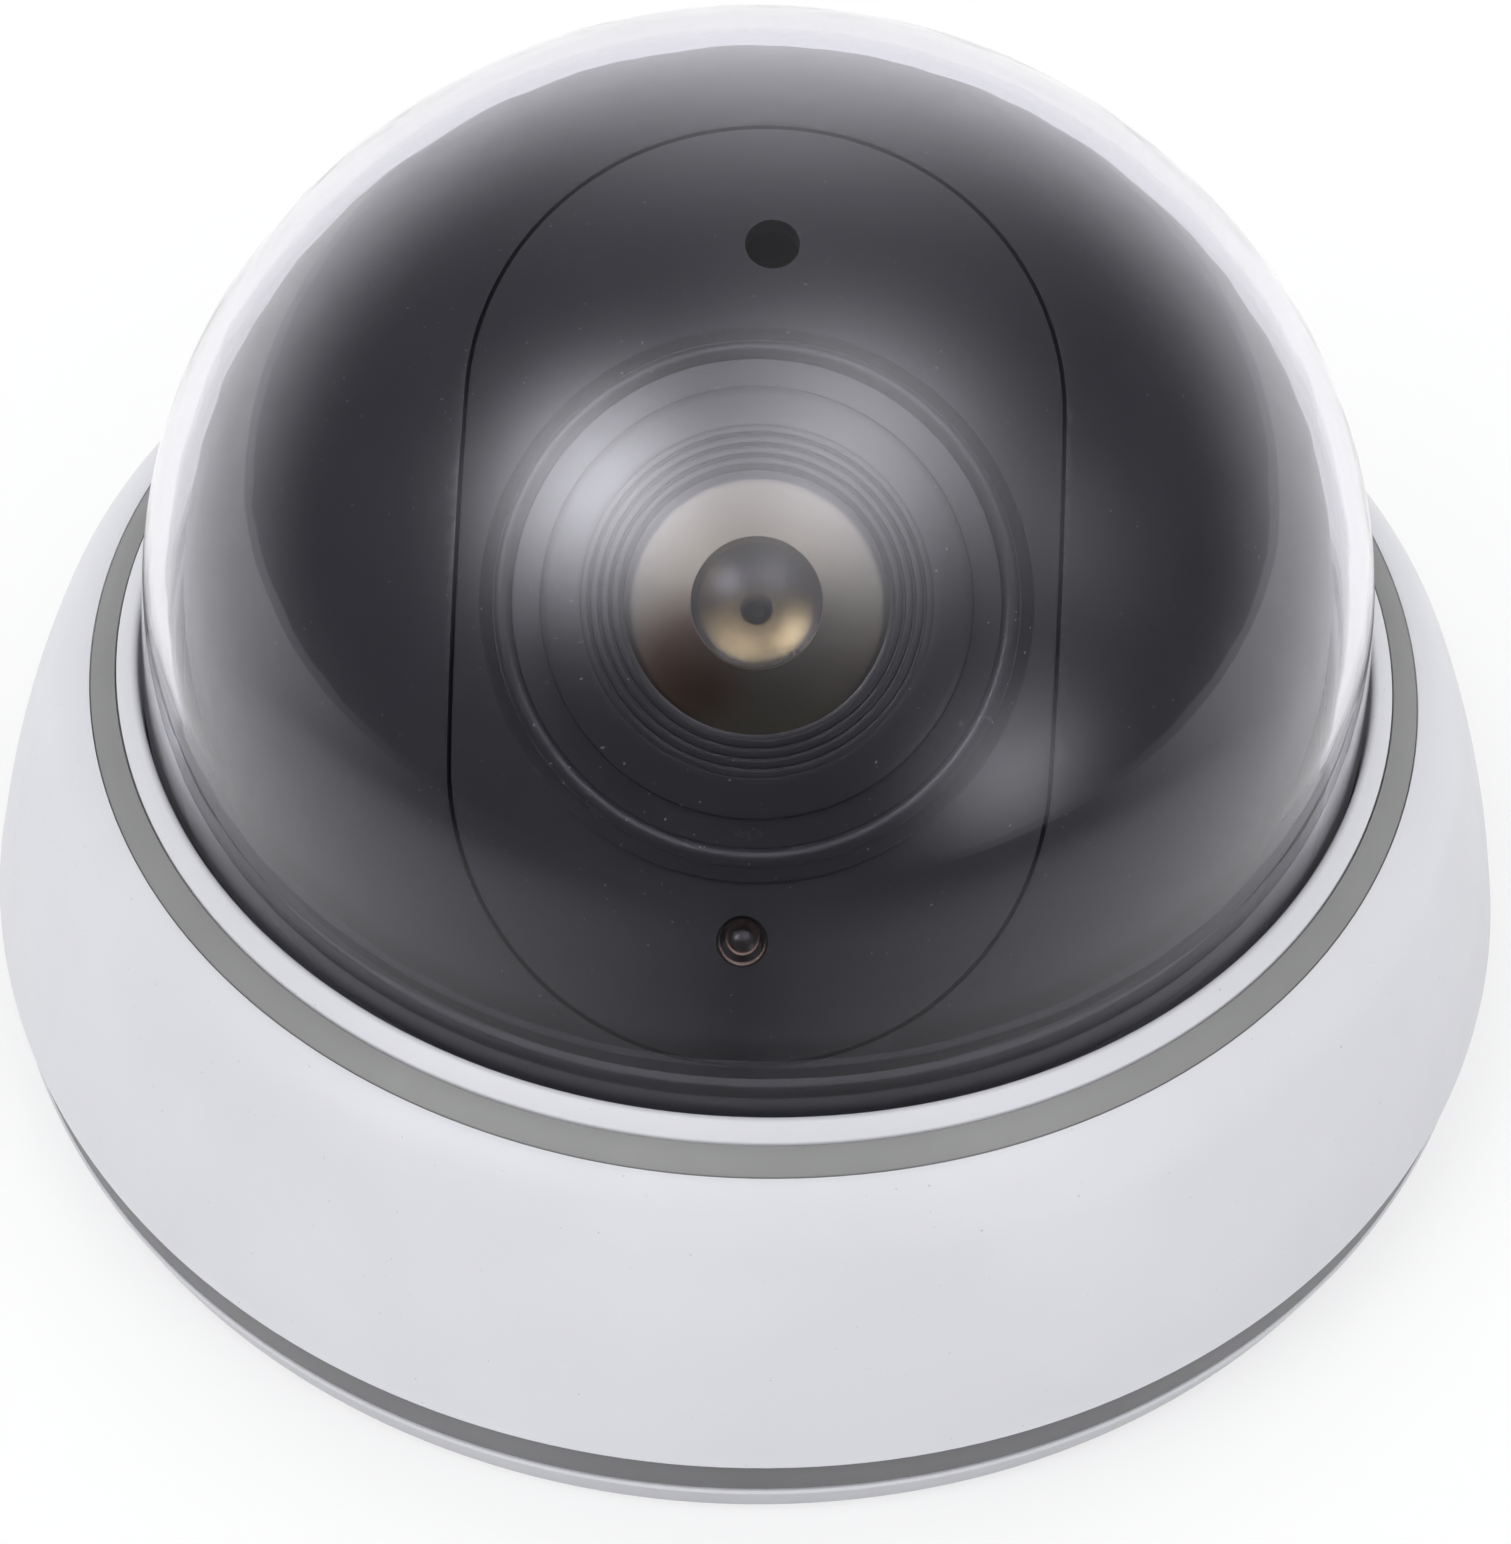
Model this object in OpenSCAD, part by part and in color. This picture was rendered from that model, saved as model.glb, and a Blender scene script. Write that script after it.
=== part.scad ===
// Battery-powered dome camera for a ceiling or wall: a flared white housing on a
// twist-lock base plate, a clear dome, and a black inner shell with a lens module.
// Millimetres. The origin is the centre of the underside, and +Z points out of the wall.

/* [Housing] */
// Radius of the housing at its foot, the widest circle of the object
foot_r = 60; // [57:0.5:66]
// Width of the housing, seen from the front, between its foot and its lip
housing_w = 13.46; // [13:0.02:14.5]
// Height of the housing's foot above the mounting surface
foot_z = 7.4; // [7:0.1:8.5]
// Radius of the gentle outward curve of the flared wall, seen in section
flare_r = 84.5; // [70:0.5:110]
// Lean of the flared wall at its foot, in degrees from upright
flare_lean = 12; // [9:0.5:14]
// Radius of the rounded shoulder between the wall and the top
shoulder_r = 7.5; // [5:0.25:9]
// Height of the top's inner edge, the lip round the dome
lip_z = 30.2; // [29.5:0.1:32]
// Slope of the top, rising towards the dome, in degrees
top_slope = 25.6; // [18:0.2:28]
// Thickness of the housing's wall
shell_wall = 2.2; // [1.6:0.1:2.6]
// Depth below the lip of the flat face that clamps the dome
clamp_drop = 4; // [3.6:0.1:4.6]

/* [Dome] */
// Rise of the dome above its widest circle
dome_rise = 40.75; // [39:0.05:43]
// Height of the dome's widest circle
dome_z = 33.66; // [33:0.02:36]
// Angle above the horizon at which the dome's side curve passes into its crown
crown_deg = 37; // [30:1:42]
// Thickness of the dome's wall
dome_wall = 1.7; // [1.2:0.1:2]
// Gap between the dome and the lip of the housing
lip_gap = 1; // [0.6:0.05:1.3]
// Width of the dome's flange outside its wall
dome_flange_w = 3.36; // [2.8:0.02:3.4]
// Thickness of the dome's flange
dome_flange_t = 1.6; // [1.2:0.1:2]

/* [Inner shell] */
// Distance between the outer faces of the dome and of the inner shell
liner_gap = 3; // [2.6:0.1:3.6]
// Thickness of the inner shell's wall
liner_wall = 1.6; // [1.2:0.1:2]
// Thickness of the inner shell's flange
liner_flange_t = 1.4; // [1:0.1:1.8]

/* [Lens module] */
// Angle of the lens above the horizon, in degrees
lens_tilt = 49.6; // [46:0.2:54]
// Half the width of the module's face
module_half_w = 18.8; // [17.6:0.1:20]
// Reach of the module's face above the lens
module_up = 31.9; // [30:0.1:33]
// Reach of the module's face below the lens
module_down = 29.2; // [27.5:0.1:29.6]
// Thickness of the module's face
module_wall = 2.85; // [2.4:0.05:3.2]
// Overlap of the module's rear flange behind the inner shell
module_lap = 2.2; // [1.6:0.1:2.6]
// Open seam between the module and the inner shell
seam_w = 0.25; // [0.15:0.01:0.4]
// Radius of the sensor hole above the lens
sensor_hole_r = 1.75; // [1.4:0.05:2.2]
// Distance of the sensor hole above the lens
sensor_up = 23.1; // [21:0.1:25]
// Distance of the indicator lamp below the lens
led_down = 21.1; // [20:0.1:22]

/* [Lens] */
// Radius of the round bezel
bezel_r = 16.25; // [15:0.05:17]
// Depth of the bezel's seat below the lens module's pole
bezel_seat = 4.3; // [4.1:0.05:4.6]
// Width of the bezel's raised bead
bead_w = 0.9; // [0.6:0.05:1.1]
// Width of the trough inside the bead
trough_w = 0.95; // [0.7:0.05:1.2]
// Width of the ledge inside the trough
ledge_w = 1; // [0.6:0.05:1.4]
// Width of each fine step round the lens
step_w = 0.73; // [0.5:0.01:0.9]
// Drop of each fine step
step_drop = 0.3; // [0.15:0.05:0.35]
// Radius of the lens
lens_r = 8.1; // [7.4:0.1:8.6]
// Thickness of the lens at its rim
lens_t = 2; // [1.6:0.1:2.6]
// Radius of the raised eye in the middle of the lens
eye_r = 4.1; // [3:0.1:5]
// Height of the raised eye
eye_h = 1.2; // [0.6:0.1:1.4]
// Depth of the lens barrel behind the module's pole
barrel_depth = 11; // [10:0.1:13]
// Thickness of the lens barrel's wall
barrel_wall = 1.6; // [1.2:0.1:2]

/* [Indicator] */
// Radius of the indicator lamp
led_r = 1.5; // [1.4:0.05:1.75]
// Length of the indicator lamp's body
led_len = 5.3; // [5:0.1:5.8]
// Reach of the indicator lamp's tip above the module's face
led_proud = 0.55; // [0.1:0.05:0.8]
// Length of the indicator lamp's legs above the flasher board
led_leg = 1.9; // [1.5:0.1:2.4]
// Half the width of the flasher board
board_half_w = 7; // [6.4:0.1:7.5]
// Height of the flasher board
board_h = 10.6; // [10:0.1:10.8]
// Thickness of the flasher board
board_t = 1.2; // [0.8:0.1:1.6]

/* [Trim rings] */
// Distance of the upper grey ring outside the lip
upper_ring_gap = 1.66; // [1.4:0.02:2]
// Width of the upper grey ring, seen from the front
upper_ring_w = 2.1; // [1.4:0.05:2.4]
// Depth of the upper ring's groove
upper_ring_t = 0.9; // [0.5:0.05:1]
// Distance of the lower grey ring behind the housing's foot
lower_ring_inset = 0.4; // [0.2:0.05:0.8]
// Thickness of the lower grey ring, in from its face
lower_ring_t = 1.65; // [1.2:0.05:2]

/* [Base plate] */
// Height of the base plate's rim
rim_h = 3.6; // [3.2:0.1:3.8]
// Distance of the rim's top behind the housing's foot
rim_inset = 0.3; // [0.1:0.05:0.8]
// Distance that the rim tapers inwards down to the mounting surface
rim_taper = 0.9; // [0.4:0.1:1.4]
// Thickness of the rim and of the housing's skirt
rim_t = 1.7; // [1.4:0.1:2]
// Thickness of the base plate's floor
floor_t = 2.4; // [2:0.1:3]
// Width of the space between the locking collar and the housing's skirt
lock_w = 6.2; // [6:0.1:7]
// Thickness of the locking collar
collar_t = 1.8; // [1.4:0.1:2.4]
// Reach of the locking lugs outside the collar
lug_w = 2.6; // [2:0.1:3]
// Gap between the locking lugs and the back cover
lug_gap = 0.9; // [0.7:0.05:1.1]
// Thickness of the locking lugs and of the housing's tabs
lug_t = 2.2; // [1.8:0.1:2.2]
// Width of each locking lug, in degrees
lug_deg = 24; // [20:1:28]
// Width of each of the housing's tabs, in degrees
tab_deg = 20; // [14:1:22]
// Distance of the mounting holes' centres inside the locking collar
mount_in = 6.2; // [5.6:0.1:12]
// Radius of each mounting hole
mount_hole_r = 2.1; // [1.6:0.05:2.6]
// Number of mounting holes
mount_count = 3; // [3:1:4]

/* [Back cover] */
// Height of the back cover's outer face
cover_z = 9.8; // [9.4:0.1:10]
// Thickness of the back cover
cover_t = 3; // [2.8:0.1:3.2]
// Gap between the back cover's edge and the housing's wall
cover_gap = 0.98; // [0.6:0.02:1.2]
// Radius of the bosses that hold the cover screws
boss_r = 3.2; // [2.9:0.05:3.3]
// Radius of the cover screws' shank
screw_r = 1.25; // [1:0.05:1.4]
// Radius of the cover screws' head
screw_head_r = 2.5; // [2:0.1:2.6]
// Reach of the cover screws into the housing
screw_reach = 7; // [5:0.5:9]

/* [Batteries] */
// Radius of an AA cell
cell_r = 7.15; // [7:0.05:7.25]
// Length of an AA cell, its button included
cell_len = 50.5; // [49.5:0.1:50.5]
// Length compressed of each battery spring
spring_len = 4.3; // [3.5:0.1:5]
// Wall of the battery bay
bay_wall = 1.5; // [1.2:0.1:1.8]
// Thickness of the battery door
door_t = 1.6; // [1.4:0.1:1.7]
// Travel of the battery door
door_travel = 8; // [6:0.5:9]

/* [Switch] */
// Travel of the switch's knob
switch_travel = 2; // [1.5:0.1:2.5]
// Length of the switch's body
switch_len = 9; // [8:0.1:11]
// Distance of the switch behind the middle of the cover
switch_y = 26; // [25:0.5:30]

/* [Hidden] */

$fn = 96;
eps = 0.01;         // overlap that makes a boolean clean
snug = 0.05;        // gap of pieces that are pushed or glued together
play = 0.2;         // gap of pieces that slide or drop in
turn_gap = 0.25;    // gap of pieces that turn on each other
arc_n = 10;         // straight steps of a profile's arc

white = [0.88, 0.88, 0.90];
grey = [0.52, 0.53, 0.54];
black = [0.12, 0.12, 0.13];

// Points of an arc about c, radius r, from angle a0 to a1
function arc(c, r, a0, a1, n = arc_n) =
    [for (i = [0:n]) let (a = a0 + (a1 - a0) * i / n) [c[0] + r * cos(a), c[1] + r * sin(a)]];

// The same arc without its first point, to follow one that ends there
function next_arc(c, r, a0, a1) = let (p = arc(c, r, a0, a1)) [for (i = [1:arc_n]) p[i]];

// ---- the dome's section and the surfaces parallel to it: two arcs that meet at crown_deg
lip_r = foot_r - housing_w;
dome_r = lip_r - lip_gap;
centres = (dome_r - dome_rise) / (sin(crown_deg) + cos(crown_deg) - 1);
dome_side_r = dome_r - centres * cos(crown_deg);
crown_r = dome_rise + centres * sin(crown_deg);
crown_z = dome_z + dome_rise - crown_r;
crown_steps = 14;

function dome_section(inset, floor_z) = concat(
    [[0, floor_z], [dome_r - inset, floor_z]],
    arc([dome_r - dome_side_r, dome_z], dome_side_r - inset, 0, crown_deg),
    [for (i = [1:crown_steps]) let (a = crown_deg + (90 - crown_deg) * i / crown_steps)
        [i == crown_steps ? 0 : (crown_r - inset) * cos(a), crown_z + (crown_r - inset) * sin(a)]]);

// Solid under the surface that lies inset inside the dome's outer face
module dome_plug(inset, floor_z) rotate_extrude() polygon(dome_section(inset, floor_z));

// ---- the housing's section
flare_c = [foot_r - flare_r * cos(flare_lean), foot_z - flare_r * sin(flare_lean)];
top_n = [sin(top_slope), cos(top_slope)];
shoulder_deg = 90 - top_slope - acos(
    ([lip_r, lip_z] * top_n - flare_c * top_n - shoulder_r) / (flare_r - shoulder_r));
shoulder_c = flare_c + (flare_r - shoulder_r) * [cos(shoulder_deg), sin(shoulder_deg)];
inner_foot_deg = asin((foot_z - flare_c[1]) / (flare_r - shell_wall));
lip_edge = 0.4;     // rounding of the lip's inner edge
upper_ring_in = lip_r + upper_ring_gap;
upper_ring_out = upper_ring_in + upper_ring_w;

function top_at(r) = lip_z - (r - lip_r) * tan(top_slope);
// Radius of the housing's inner wall at height z
function wall_in(z) = flare_c[0] + sqrt(pow(flare_r - shell_wall, 2) - pow(z - flare_c[1], 2));

// ---- heights that follow from one another
clamp_z = lip_z - clamp_drop;
dome_flange_z = clamp_z - dome_flange_t;
liner_flange_z = dome_flange_z - liner_flange_t;
flange_r = dome_r + dome_flange_w;
cover_top = cover_z + cover_t;
lower_ring_z = rim_h + turn_gap;
lower_ring_r = foot_r - lower_ring_inset;
skirt_r = lower_ring_r - lower_ring_t - snug;
skirt_in = skirt_r - rim_t;
collar_r = skirt_in - lock_w;
lug_top = cover_z - lug_gap;
mount_ring_r = collar_r - collar_t - mount_in;
tab_top = lug_top - lug_t - turn_gap;
tab_r = collar_r + 0.6;
cover_r = wall_in(cover_top) - cover_gap;
screw_ring_r = flange_r + 0.3 + boss_r;
locks = 3;          // twist-lock lugs, and cover screws between them

// ---- the lens module's own frame: its pole on the inner shell, Z out along the lens
liner_r = crown_r - liner_gap;
pole = [0, -liner_r * cos(lens_tilt), crown_z + liner_r * sin(lens_tilt)];
module in_module() translate(pole) rotate([90 - lens_tilt, 0, 0]) children();
// A point of the module's frame, in the object's frame
function from_module(x, up, out) = [x, pole[1] + up * sin(lens_tilt) - out * cos(lens_tilt),
    pole[2] + up * cos(lens_tilt) + out * sin(lens_tilt)];
// Height of the face in the module's frame, at radius r from the lens
function face_at(r) = sqrt(liner_r * liner_r - r * r) - liner_r;
// The same straight below the lens, where the face follows the dome's side curve
side_c = [dome_side_r - dome_r - pole[1], dome_z - pole[2]];
function face_below(d) = side_c * [-cos(lens_tilt), sin(lens_tilt)]
    + sqrt(pow(dome_side_r - liner_gap, 2) - pow(d + side_c * [sin(lens_tilt), cos(lens_tilt)], 2));
module_deep = liner_r;  // cuts through one side of the inner shell only

// Obround prism along the lens, grown by g on every side
module module_prism(g) in_module() translate([0, 0, -module_deep]) linear_extrude(module_deep + 20) {
    translate([0, module_up - module_half_w]) circle(module_half_w + g);
    translate([0, module_half_w - module_down]) circle(module_half_w + g);
    translate([-module_half_w - g, module_half_w - module_down])
        square([2 * (module_half_w + g), module_up + module_down - 2 * module_half_w]);
}

// ---- lens, bezel and lamp
ledge_r = bezel_r - bead_w - trough_w;
cone_r = ledge_r - ledge_w;
steps_r = lens_r + play + 3 * step_w;
step_top = face_at(steps_r) + 0.24;
module_hole_r = ledge_r + 0.5;
barrel_r = lens_r - 0.7 + barrel_wall;
lens_front = step_top - 3 * step_drop;
lens_seat = lens_front - lens_t;
led_tip = face_below(led_down) + led_proud;     // out along the lens, in the module's frame
board_front = led_tip - led_len - led_leg;
board_low = led_down + 1.3;     // distance of the flasher board's lower edge below the lens
led_flange_r = led_r + 0.4;
led_flange_t = 1;
post_r = 1.8;
post_x = board_half_w - 2.2;
post_down = board_low - board_h + 3.2;
chip_r = 2.7;
chip_h = 1.4;
resistor_r = 0.75;
board_screw_r = 0.8;
board_head_r = 1.6;
board_head_h = 1.1;
board_slot = 0.4;

// ---- battery bay: cells lie along X, side by side
cell_pitch = 2 * cell_r + 0.6;
button_r = 2.7;
button_h = 1.3;
strip_t = 0.4;      // thickness of the contact strips
bay_half_l = (cell_len + spring_len) / 2 + strip_t;
bay_half_w = cell_pitch / 2 + cell_r + 0.4;
cell_z = cover_z + door_t + 0.35 + cell_r;
bay_top = cell_z + cell_r + 0.35;
door_half_l = bay_half_l + 2.7;
door_half_w = bay_half_w + 1.6;
channel_t = door_t + 0.05;
tongue_w = 1.2;
tongue_l = 10;
tongue_t = 0.75;
tongue_x = 19;      // distance of each tongue's middle from the door's middle
strip_w = 8;
tab_h = 2;          // reach of the solder tabs above the bay
tab_w = 2.4;

// ---- switch
switch_w = 4.2;
switch_h = 4;
knob_l = 2.6;
knob_w = 1.8;
knob_out = 1;       // reach of the knob below the cover
pin_h = 1.8;
pin_x = 3;

wire_r = 0.6;
spring_wire_r = 0.35;
spring_foot_r = 4.4;
spring_tip_r = 2.6;

// Smooth curve through hand-picked points, m steps between neighbours
function bend(p0, p1, p2, p3, t) = 0.5 * (2 * p1 + (p2 - p0) * t
    + (2 * p0 - 5 * p1 + 4 * p2 - p3) * t * t + (3 * p1 - p0 - 3 * p2 + p3) * t * t * t);
function smooth(p, m = 3) = let (e = len(p) - 1) concat(
    [for (i = [0:e - 1], j = [0:m - 1])
        bend(p[max(i - 1, 0)], p[i], p[i + 1], p[min(i + 2, e)], j / m)],
    [p[e]]);

// Tube of radius r along points p; no stretch of it may run parallel to ref
module tube(p, r, ref, sides = 8) {
    n = len(p);
    rings = [for (i = [0:n - 1]) let (
        t = p[min(i + 1, n - 1)] - p[max(i - 1, 0)],
        s = cross(t, ref) / norm(cross(t, ref)),
        u = cross(s, t) / norm(t))
        for (k = [0:sides - 1]) p[i] + r * (cos(360 * k / sides) * s + sin(360 * k / sides) * u)];
    walls = [for (i = [0:n - 2], k = [0:sides - 1]) let (a = i * sides, b = a + sides, l = (k + 1) % sides)
        each [[a + k, b + k, a + l], [a + l, b + k, b + l]]];
    first = [for (k = [1:sides - 2]) [0, k, k + 1]];
    last = [for (k = [1:sides - 2]) let (a = (n - 1) * sides) [a, a + k + 1, a + k]];
    polyhedron(rings, concat(first, walls, last));
}

// Ring sector between two radii and two heights, w degrees wide about angle a
module sector(r0, r1, z0, z1, a, w) rotate([0, 0, a - w / 2]) rotate_extrude(angle = w)
    translate([r0, z0]) square([r1 - r0, z1 - z0]);

// Box between two corners
module block(lo, hi) translate(lo) cube(hi - lo);

module base_plate() color(white) {
    rim_r = foot_r - rim_inset;
    pad_r = 2 * mount_hole_r + 1.2;
    pad_h = floor_t + 1.6;
    stop_deg = 1.4;
    difference() {
        union() {
            rotate_extrude() polygon([[0, 0], [rim_r - rim_taper, 0], [rim_r, rim_h], [rim_r - rim_t, rim_h],
                [rim_r - rim_t, floor_t], [0, floor_t]]);
            rotate_extrude() translate([collar_r - collar_t, floor_t - eps])
                square([collar_t, lug_top - floor_t + eps]);
            for (i = [0:locks - 1]) {
                sector(collar_r - 0.5, collar_r + lug_w, lug_top - lug_t, lug_top, i * 360 / locks, lug_deg);
                // stop that the tab meets when the camera is locked
                sector(collar_r - 0.8, collar_r + lug_w - 0.4, floor_t - eps, lug_top - lug_t + 0.3,
                    i * 360 / locks - tab_deg / 2 - stop_deg / 2 - 0.5, stop_deg);
            }
            for (i = [0:mount_count - 1]) rotate([0, 0, 90 + i * 360 / mount_count])
                translate([mount_ring_r, 0, 0]) cylinder(r = pad_r, h = pad_h);
        }
        for (i = [0:mount_count - 1]) rotate([0, 0, 90 + i * 360 / mount_count])
            translate([mount_ring_r, 0, 0]) {
                translate([0, 0, -1]) cylinder(r = mount_hole_r, h = pad_h + 2);
                translate([0, 0, floor_t]) cylinder(r = 2 * mount_hole_r, h = pad_h);
            }
    }
}

module housing() color(white) {
    void_z = lower_ring_z - 1;
    difference() {
        rotate_extrude() polygon(concat(
            [[0, lower_ring_z + 0.15], [skirt_r, lower_ring_z + 0.15], [skirt_r, foot_z]],
            arc(flare_c, flare_r, flare_lean, shoulder_deg),
            next_arc(shoulder_c, shoulder_r, shoulder_deg, 90 - top_slope),
            arc([lip_r + lip_edge, lip_z - lip_edge], lip_edge, 90 - top_slope, 180, 4),
            [[0, lip_z - lip_edge]]));
        // the hollow, less the tabs and the screw bosses that stand in it
        difference() {
            rotate_extrude() {
                intersection() {
                    polygon(concat(
                        [[0, void_z], [skirt_in, void_z], [skirt_in, foot_z + 1.6]],
                        arc(flare_c, flare_r - shell_wall, inner_foot_deg + 2, shoulder_deg),
                        next_arc(shoulder_c, shoulder_r - shell_wall, shoulder_deg, 90 - top_slope),
                        [[0, top_at(0) - shell_wall / cos(top_slope)]]));
                    square([foot_r, clamp_z]);
                }
                square([lip_r, lip_z + 1]);
            }
            for (i = [0:locks - 1]) {
                sector(tab_r, skirt_r, tab_top - lug_t, tab_top, i * 360 / locks, tab_deg);
                rotate([0, 0, (i + 0.5) * 360 / locks]) translate([screw_ring_r, 0, cover_top])
                    cylinder(r = boss_r, h = lip_z);
            }
        }
        for (i = [0:locks - 1]) rotate([0, 0, (i + 0.5) * 360 / locks])
            translate([screw_ring_r, 0, cover_top - 1]) cylinder(r = screw_r + 0.02, h = screw_reach + 2);
        // groove of the upper ring, square to the sloping top
        rotate_extrude() upper_groove(0, 3);
    }
}

// Section of the upper ring's groove: g wider than the ring on each side, up above the top
module upper_groove(g, up) polygon([
    [upper_ring_in + g, top_at(upper_ring_in + g) - upper_ring_t / cos(top_slope)],
    [upper_ring_out - g, top_at(upper_ring_out - g) - upper_ring_t / cos(top_slope)],
    [upper_ring_out - g, top_at(upper_ring_out - g) + up],
    [upper_ring_in + g, top_at(upper_ring_in + g) + up]]);

module upper_trim_ring() color(grey) rotate_extrude() translate([0, 0.02]) upper_groove(snug, -0.05);

module lower_trim_ring() color(grey) rotate_extrude() {
    edge = 0.25;
    polygon([[lower_ring_r - lower_ring_t, lower_ring_z], [lower_ring_r - edge, lower_ring_z],
        [lower_ring_r, lower_ring_z + edge], [lower_ring_r, foot_z - snug],
        [lower_ring_r - lower_ring_t, foot_z - snug]]);
}

module clear_dome() color([0.85, 0.88, 0.92, 0.35]) difference() {
    union() {
        dome_plug(0, dome_flange_z);
        translate([0, 0, dome_flange_z]) cylinder(r = flange_r, h = dome_flange_t);
    }
    dome_plug(dome_wall, dome_flange_z - 1);
}

module inner_liner() color(black) difference() {
    union() {
        dome_plug(liner_gap, liner_flange_z);
        translate([0, 0, liner_flange_z]) cylinder(r = flange_r, h = liner_flange_t);
    }
    dome_plug(liner_gap + liner_wall, liner_flange_z - 1);
    module_prism(seam_w);
}

module camera_module() color(black) {
    face_in = liner_gap + module_wall;
    difference() {
        union() {
            intersection() {
                difference() {
                    dome_plug(liner_gap, liner_flange_z + 1);
                    dome_plug(face_in, liner_flange_z);
                }
                module_prism(0);
            }
            intersection() {
                difference() {
                    dome_plug(liner_gap + liner_wall + snug, liner_flange_z + 1);
                    dome_plug(face_in, liner_flange_z);
                }
                module_prism(module_lap);
            }
            // posts of the flasher board, rooted in the face
            intersection() {
                in_module() for (s = [-1, 1]) translate([s * post_x, -post_down, board_front])
                    cylinder(r = post_r, h = -board_front);
                dome_plug(liner_gap + 1, liner_flange_z);
            }
        }
        in_module() {
            translate([0, 0, -module_deep / 2]) cylinder(r = module_hole_r, h = module_deep);
            translate([0, 0, -bezel_seat]) cylinder(r = bezel_r + 0.15, h = module_deep);
            translate([0, sensor_up, -module_deep / 2]) cylinder(r = sensor_hole_r, h = module_deep);
            translate([0, -led_down, -module_deep / 2]) cylinder(r = led_r + 0.15, h = module_deep);
            translate([0, -led_down, board_front])
                cylinder(r = led_flange_r + play, h = led_leg + led_flange_t + play);
            for (s = [-1, 1]) translate([s * post_x, -post_down, board_front - 1])
                cylinder(r = board_screw_r + 0.02, h = 5);
        }
    }
}

// Bezel: a flat-topped bead, a trough, a ledge, a smooth cone and fine steps down to the lens
module lens_bezel() color([0.16, 0.16, 0.17]) in_module() rotate_extrude() {
    bead_h = 0.35;
    trough_d = 0.35;
    slant = 0.2;        // width of the bead's sloping foot
    root_r = module_hole_r - 0.15;
    polygon(concat(
        [[root_r, -bezel_seat], [bezel_r, -bezel_seat], [bezel_r, face_at(bezel_r)]],
        arc([bezel_r - bead_w / 2, face_at(bezel_r)], bead_w / 2, 30, 150, 4),
        [[bezel_r - bead_w, face_at(bezel_r)],
         [bezel_r - bead_w - slant, face_at(bezel_r - bead_w) - trough_d],
         [ledge_r, face_at(ledge_r) - trough_d], [ledge_r, face_at(ledge_r)],
         [cone_r, face_at(cone_r)], [cone_r, face_at(cone_r) + bead_h / 2],
         [steps_r, step_top]],
        [for (i = [0:2], k = [0:1])
            [steps_r - (i + k) * step_w, step_top - (i + 1) * step_drop]],
        [[lens_r + play, lens_seat], [barrel_r - barrel_wall, lens_seat],
         [barrel_r - barrel_wall, -barrel_depth], [barrel_r, -barrel_depth],
         [barrel_r, -bezel_seat - 1.4], [root_r, -bezel_seat - 1.4]]));
}

module lens() color([0.75, 0.76, 0.74, 0.6]) in_module() {
    eye_ball = (eye_r * eye_r + eye_h * eye_h) / (2 * eye_h);
    eye_deg = asin(eye_r / eye_ball);
    rotate_extrude() polygon(concat(
        [[0, lens_seat], [lens_r, lens_seat], [lens_r, lens_front - 0.2], [lens_r - 0.2, lens_front]],
        [for (i = [0:8]) let (a = eye_deg * (8 - i) / 8)
            [i == 8 ? 0 : eye_ball * sin(a), lens_front + eye_h - eye_ball + eye_ball * cos(a)]]));
}

module lens_reflector() color([0.72, 0.55, 0.28]) in_module() {
    cup_r = barrel_r - barrel_wall - snug;
    cup_front = lens_seat - snug;
    rotate_extrude() polygon([[cup_r - 0.7, cup_front], [cup_r, cup_front], [cup_r, cup_front - 5],
        [eye_r * 0.75, cup_front - 5], [eye_r * 0.75, cup_front - 4.2]]);
}

module lens_cap() color(black) in_module() {
    cap_t = 1.2;
    translate([0, 0, -barrel_depth - cap_t]) cylinder(r = barrel_r, h = cap_t);
    translate([0, 0, -barrel_depth - eps]) cylinder(r = barrel_r - barrel_wall - snug,
        h = lens_seat - 5 - 2 * snug + barrel_depth + eps);
}

module led() color([0.75, 0.45, 0.42, 0.7]) in_module() translate([0, -led_down, led_tip - led_len]) {
    union() {
        cylinder(r = led_flange_r, h = led_flange_t);
        cylinder(r = led_r, h = led_len - led_r);
        translate([0, 0, led_len - led_r]) sphere(r = led_r);
        for (s = [-1, 1]) translate([s * 0.65 - 0.25, -0.25, board_front - led_tip + led_len])
            cube([0.5, 0.5, led_tip - led_len - board_front + eps]);
    }
}

module led_board() color([0.10, 0.38, 0.22]) in_module() difference() {
    translate([-board_half_w, -board_low, board_front - board_t])
        cube([2 * board_half_w, board_h, board_t]);
    for (s = [-1, 1]) translate([s * post_x, -post_down, board_front - board_t - 1])
        cylinder(r = board_screw_r + play, h = board_t + 2);
}

module flasher_chip() color(black) in_module()
    translate([0, -post_down - 1.6, board_front - board_t]) mirror([0, 0, 1]) rotate_extrude()
        polygon(concat([[0, 0], [chip_r, 0]], arc([chip_r - 1, chip_h - 1.1], 1, 0, 90, 4), [[0, chip_h]]));

module led_resistor() color([0.78, 0.66, 0.48]) in_module()
    translate([-chip_r, -board_low + 1.2, board_front - board_t - resistor_r]) rotate([0, 90, 0])
        cylinder(r = resistor_r, h = 2 * chip_r);

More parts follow.
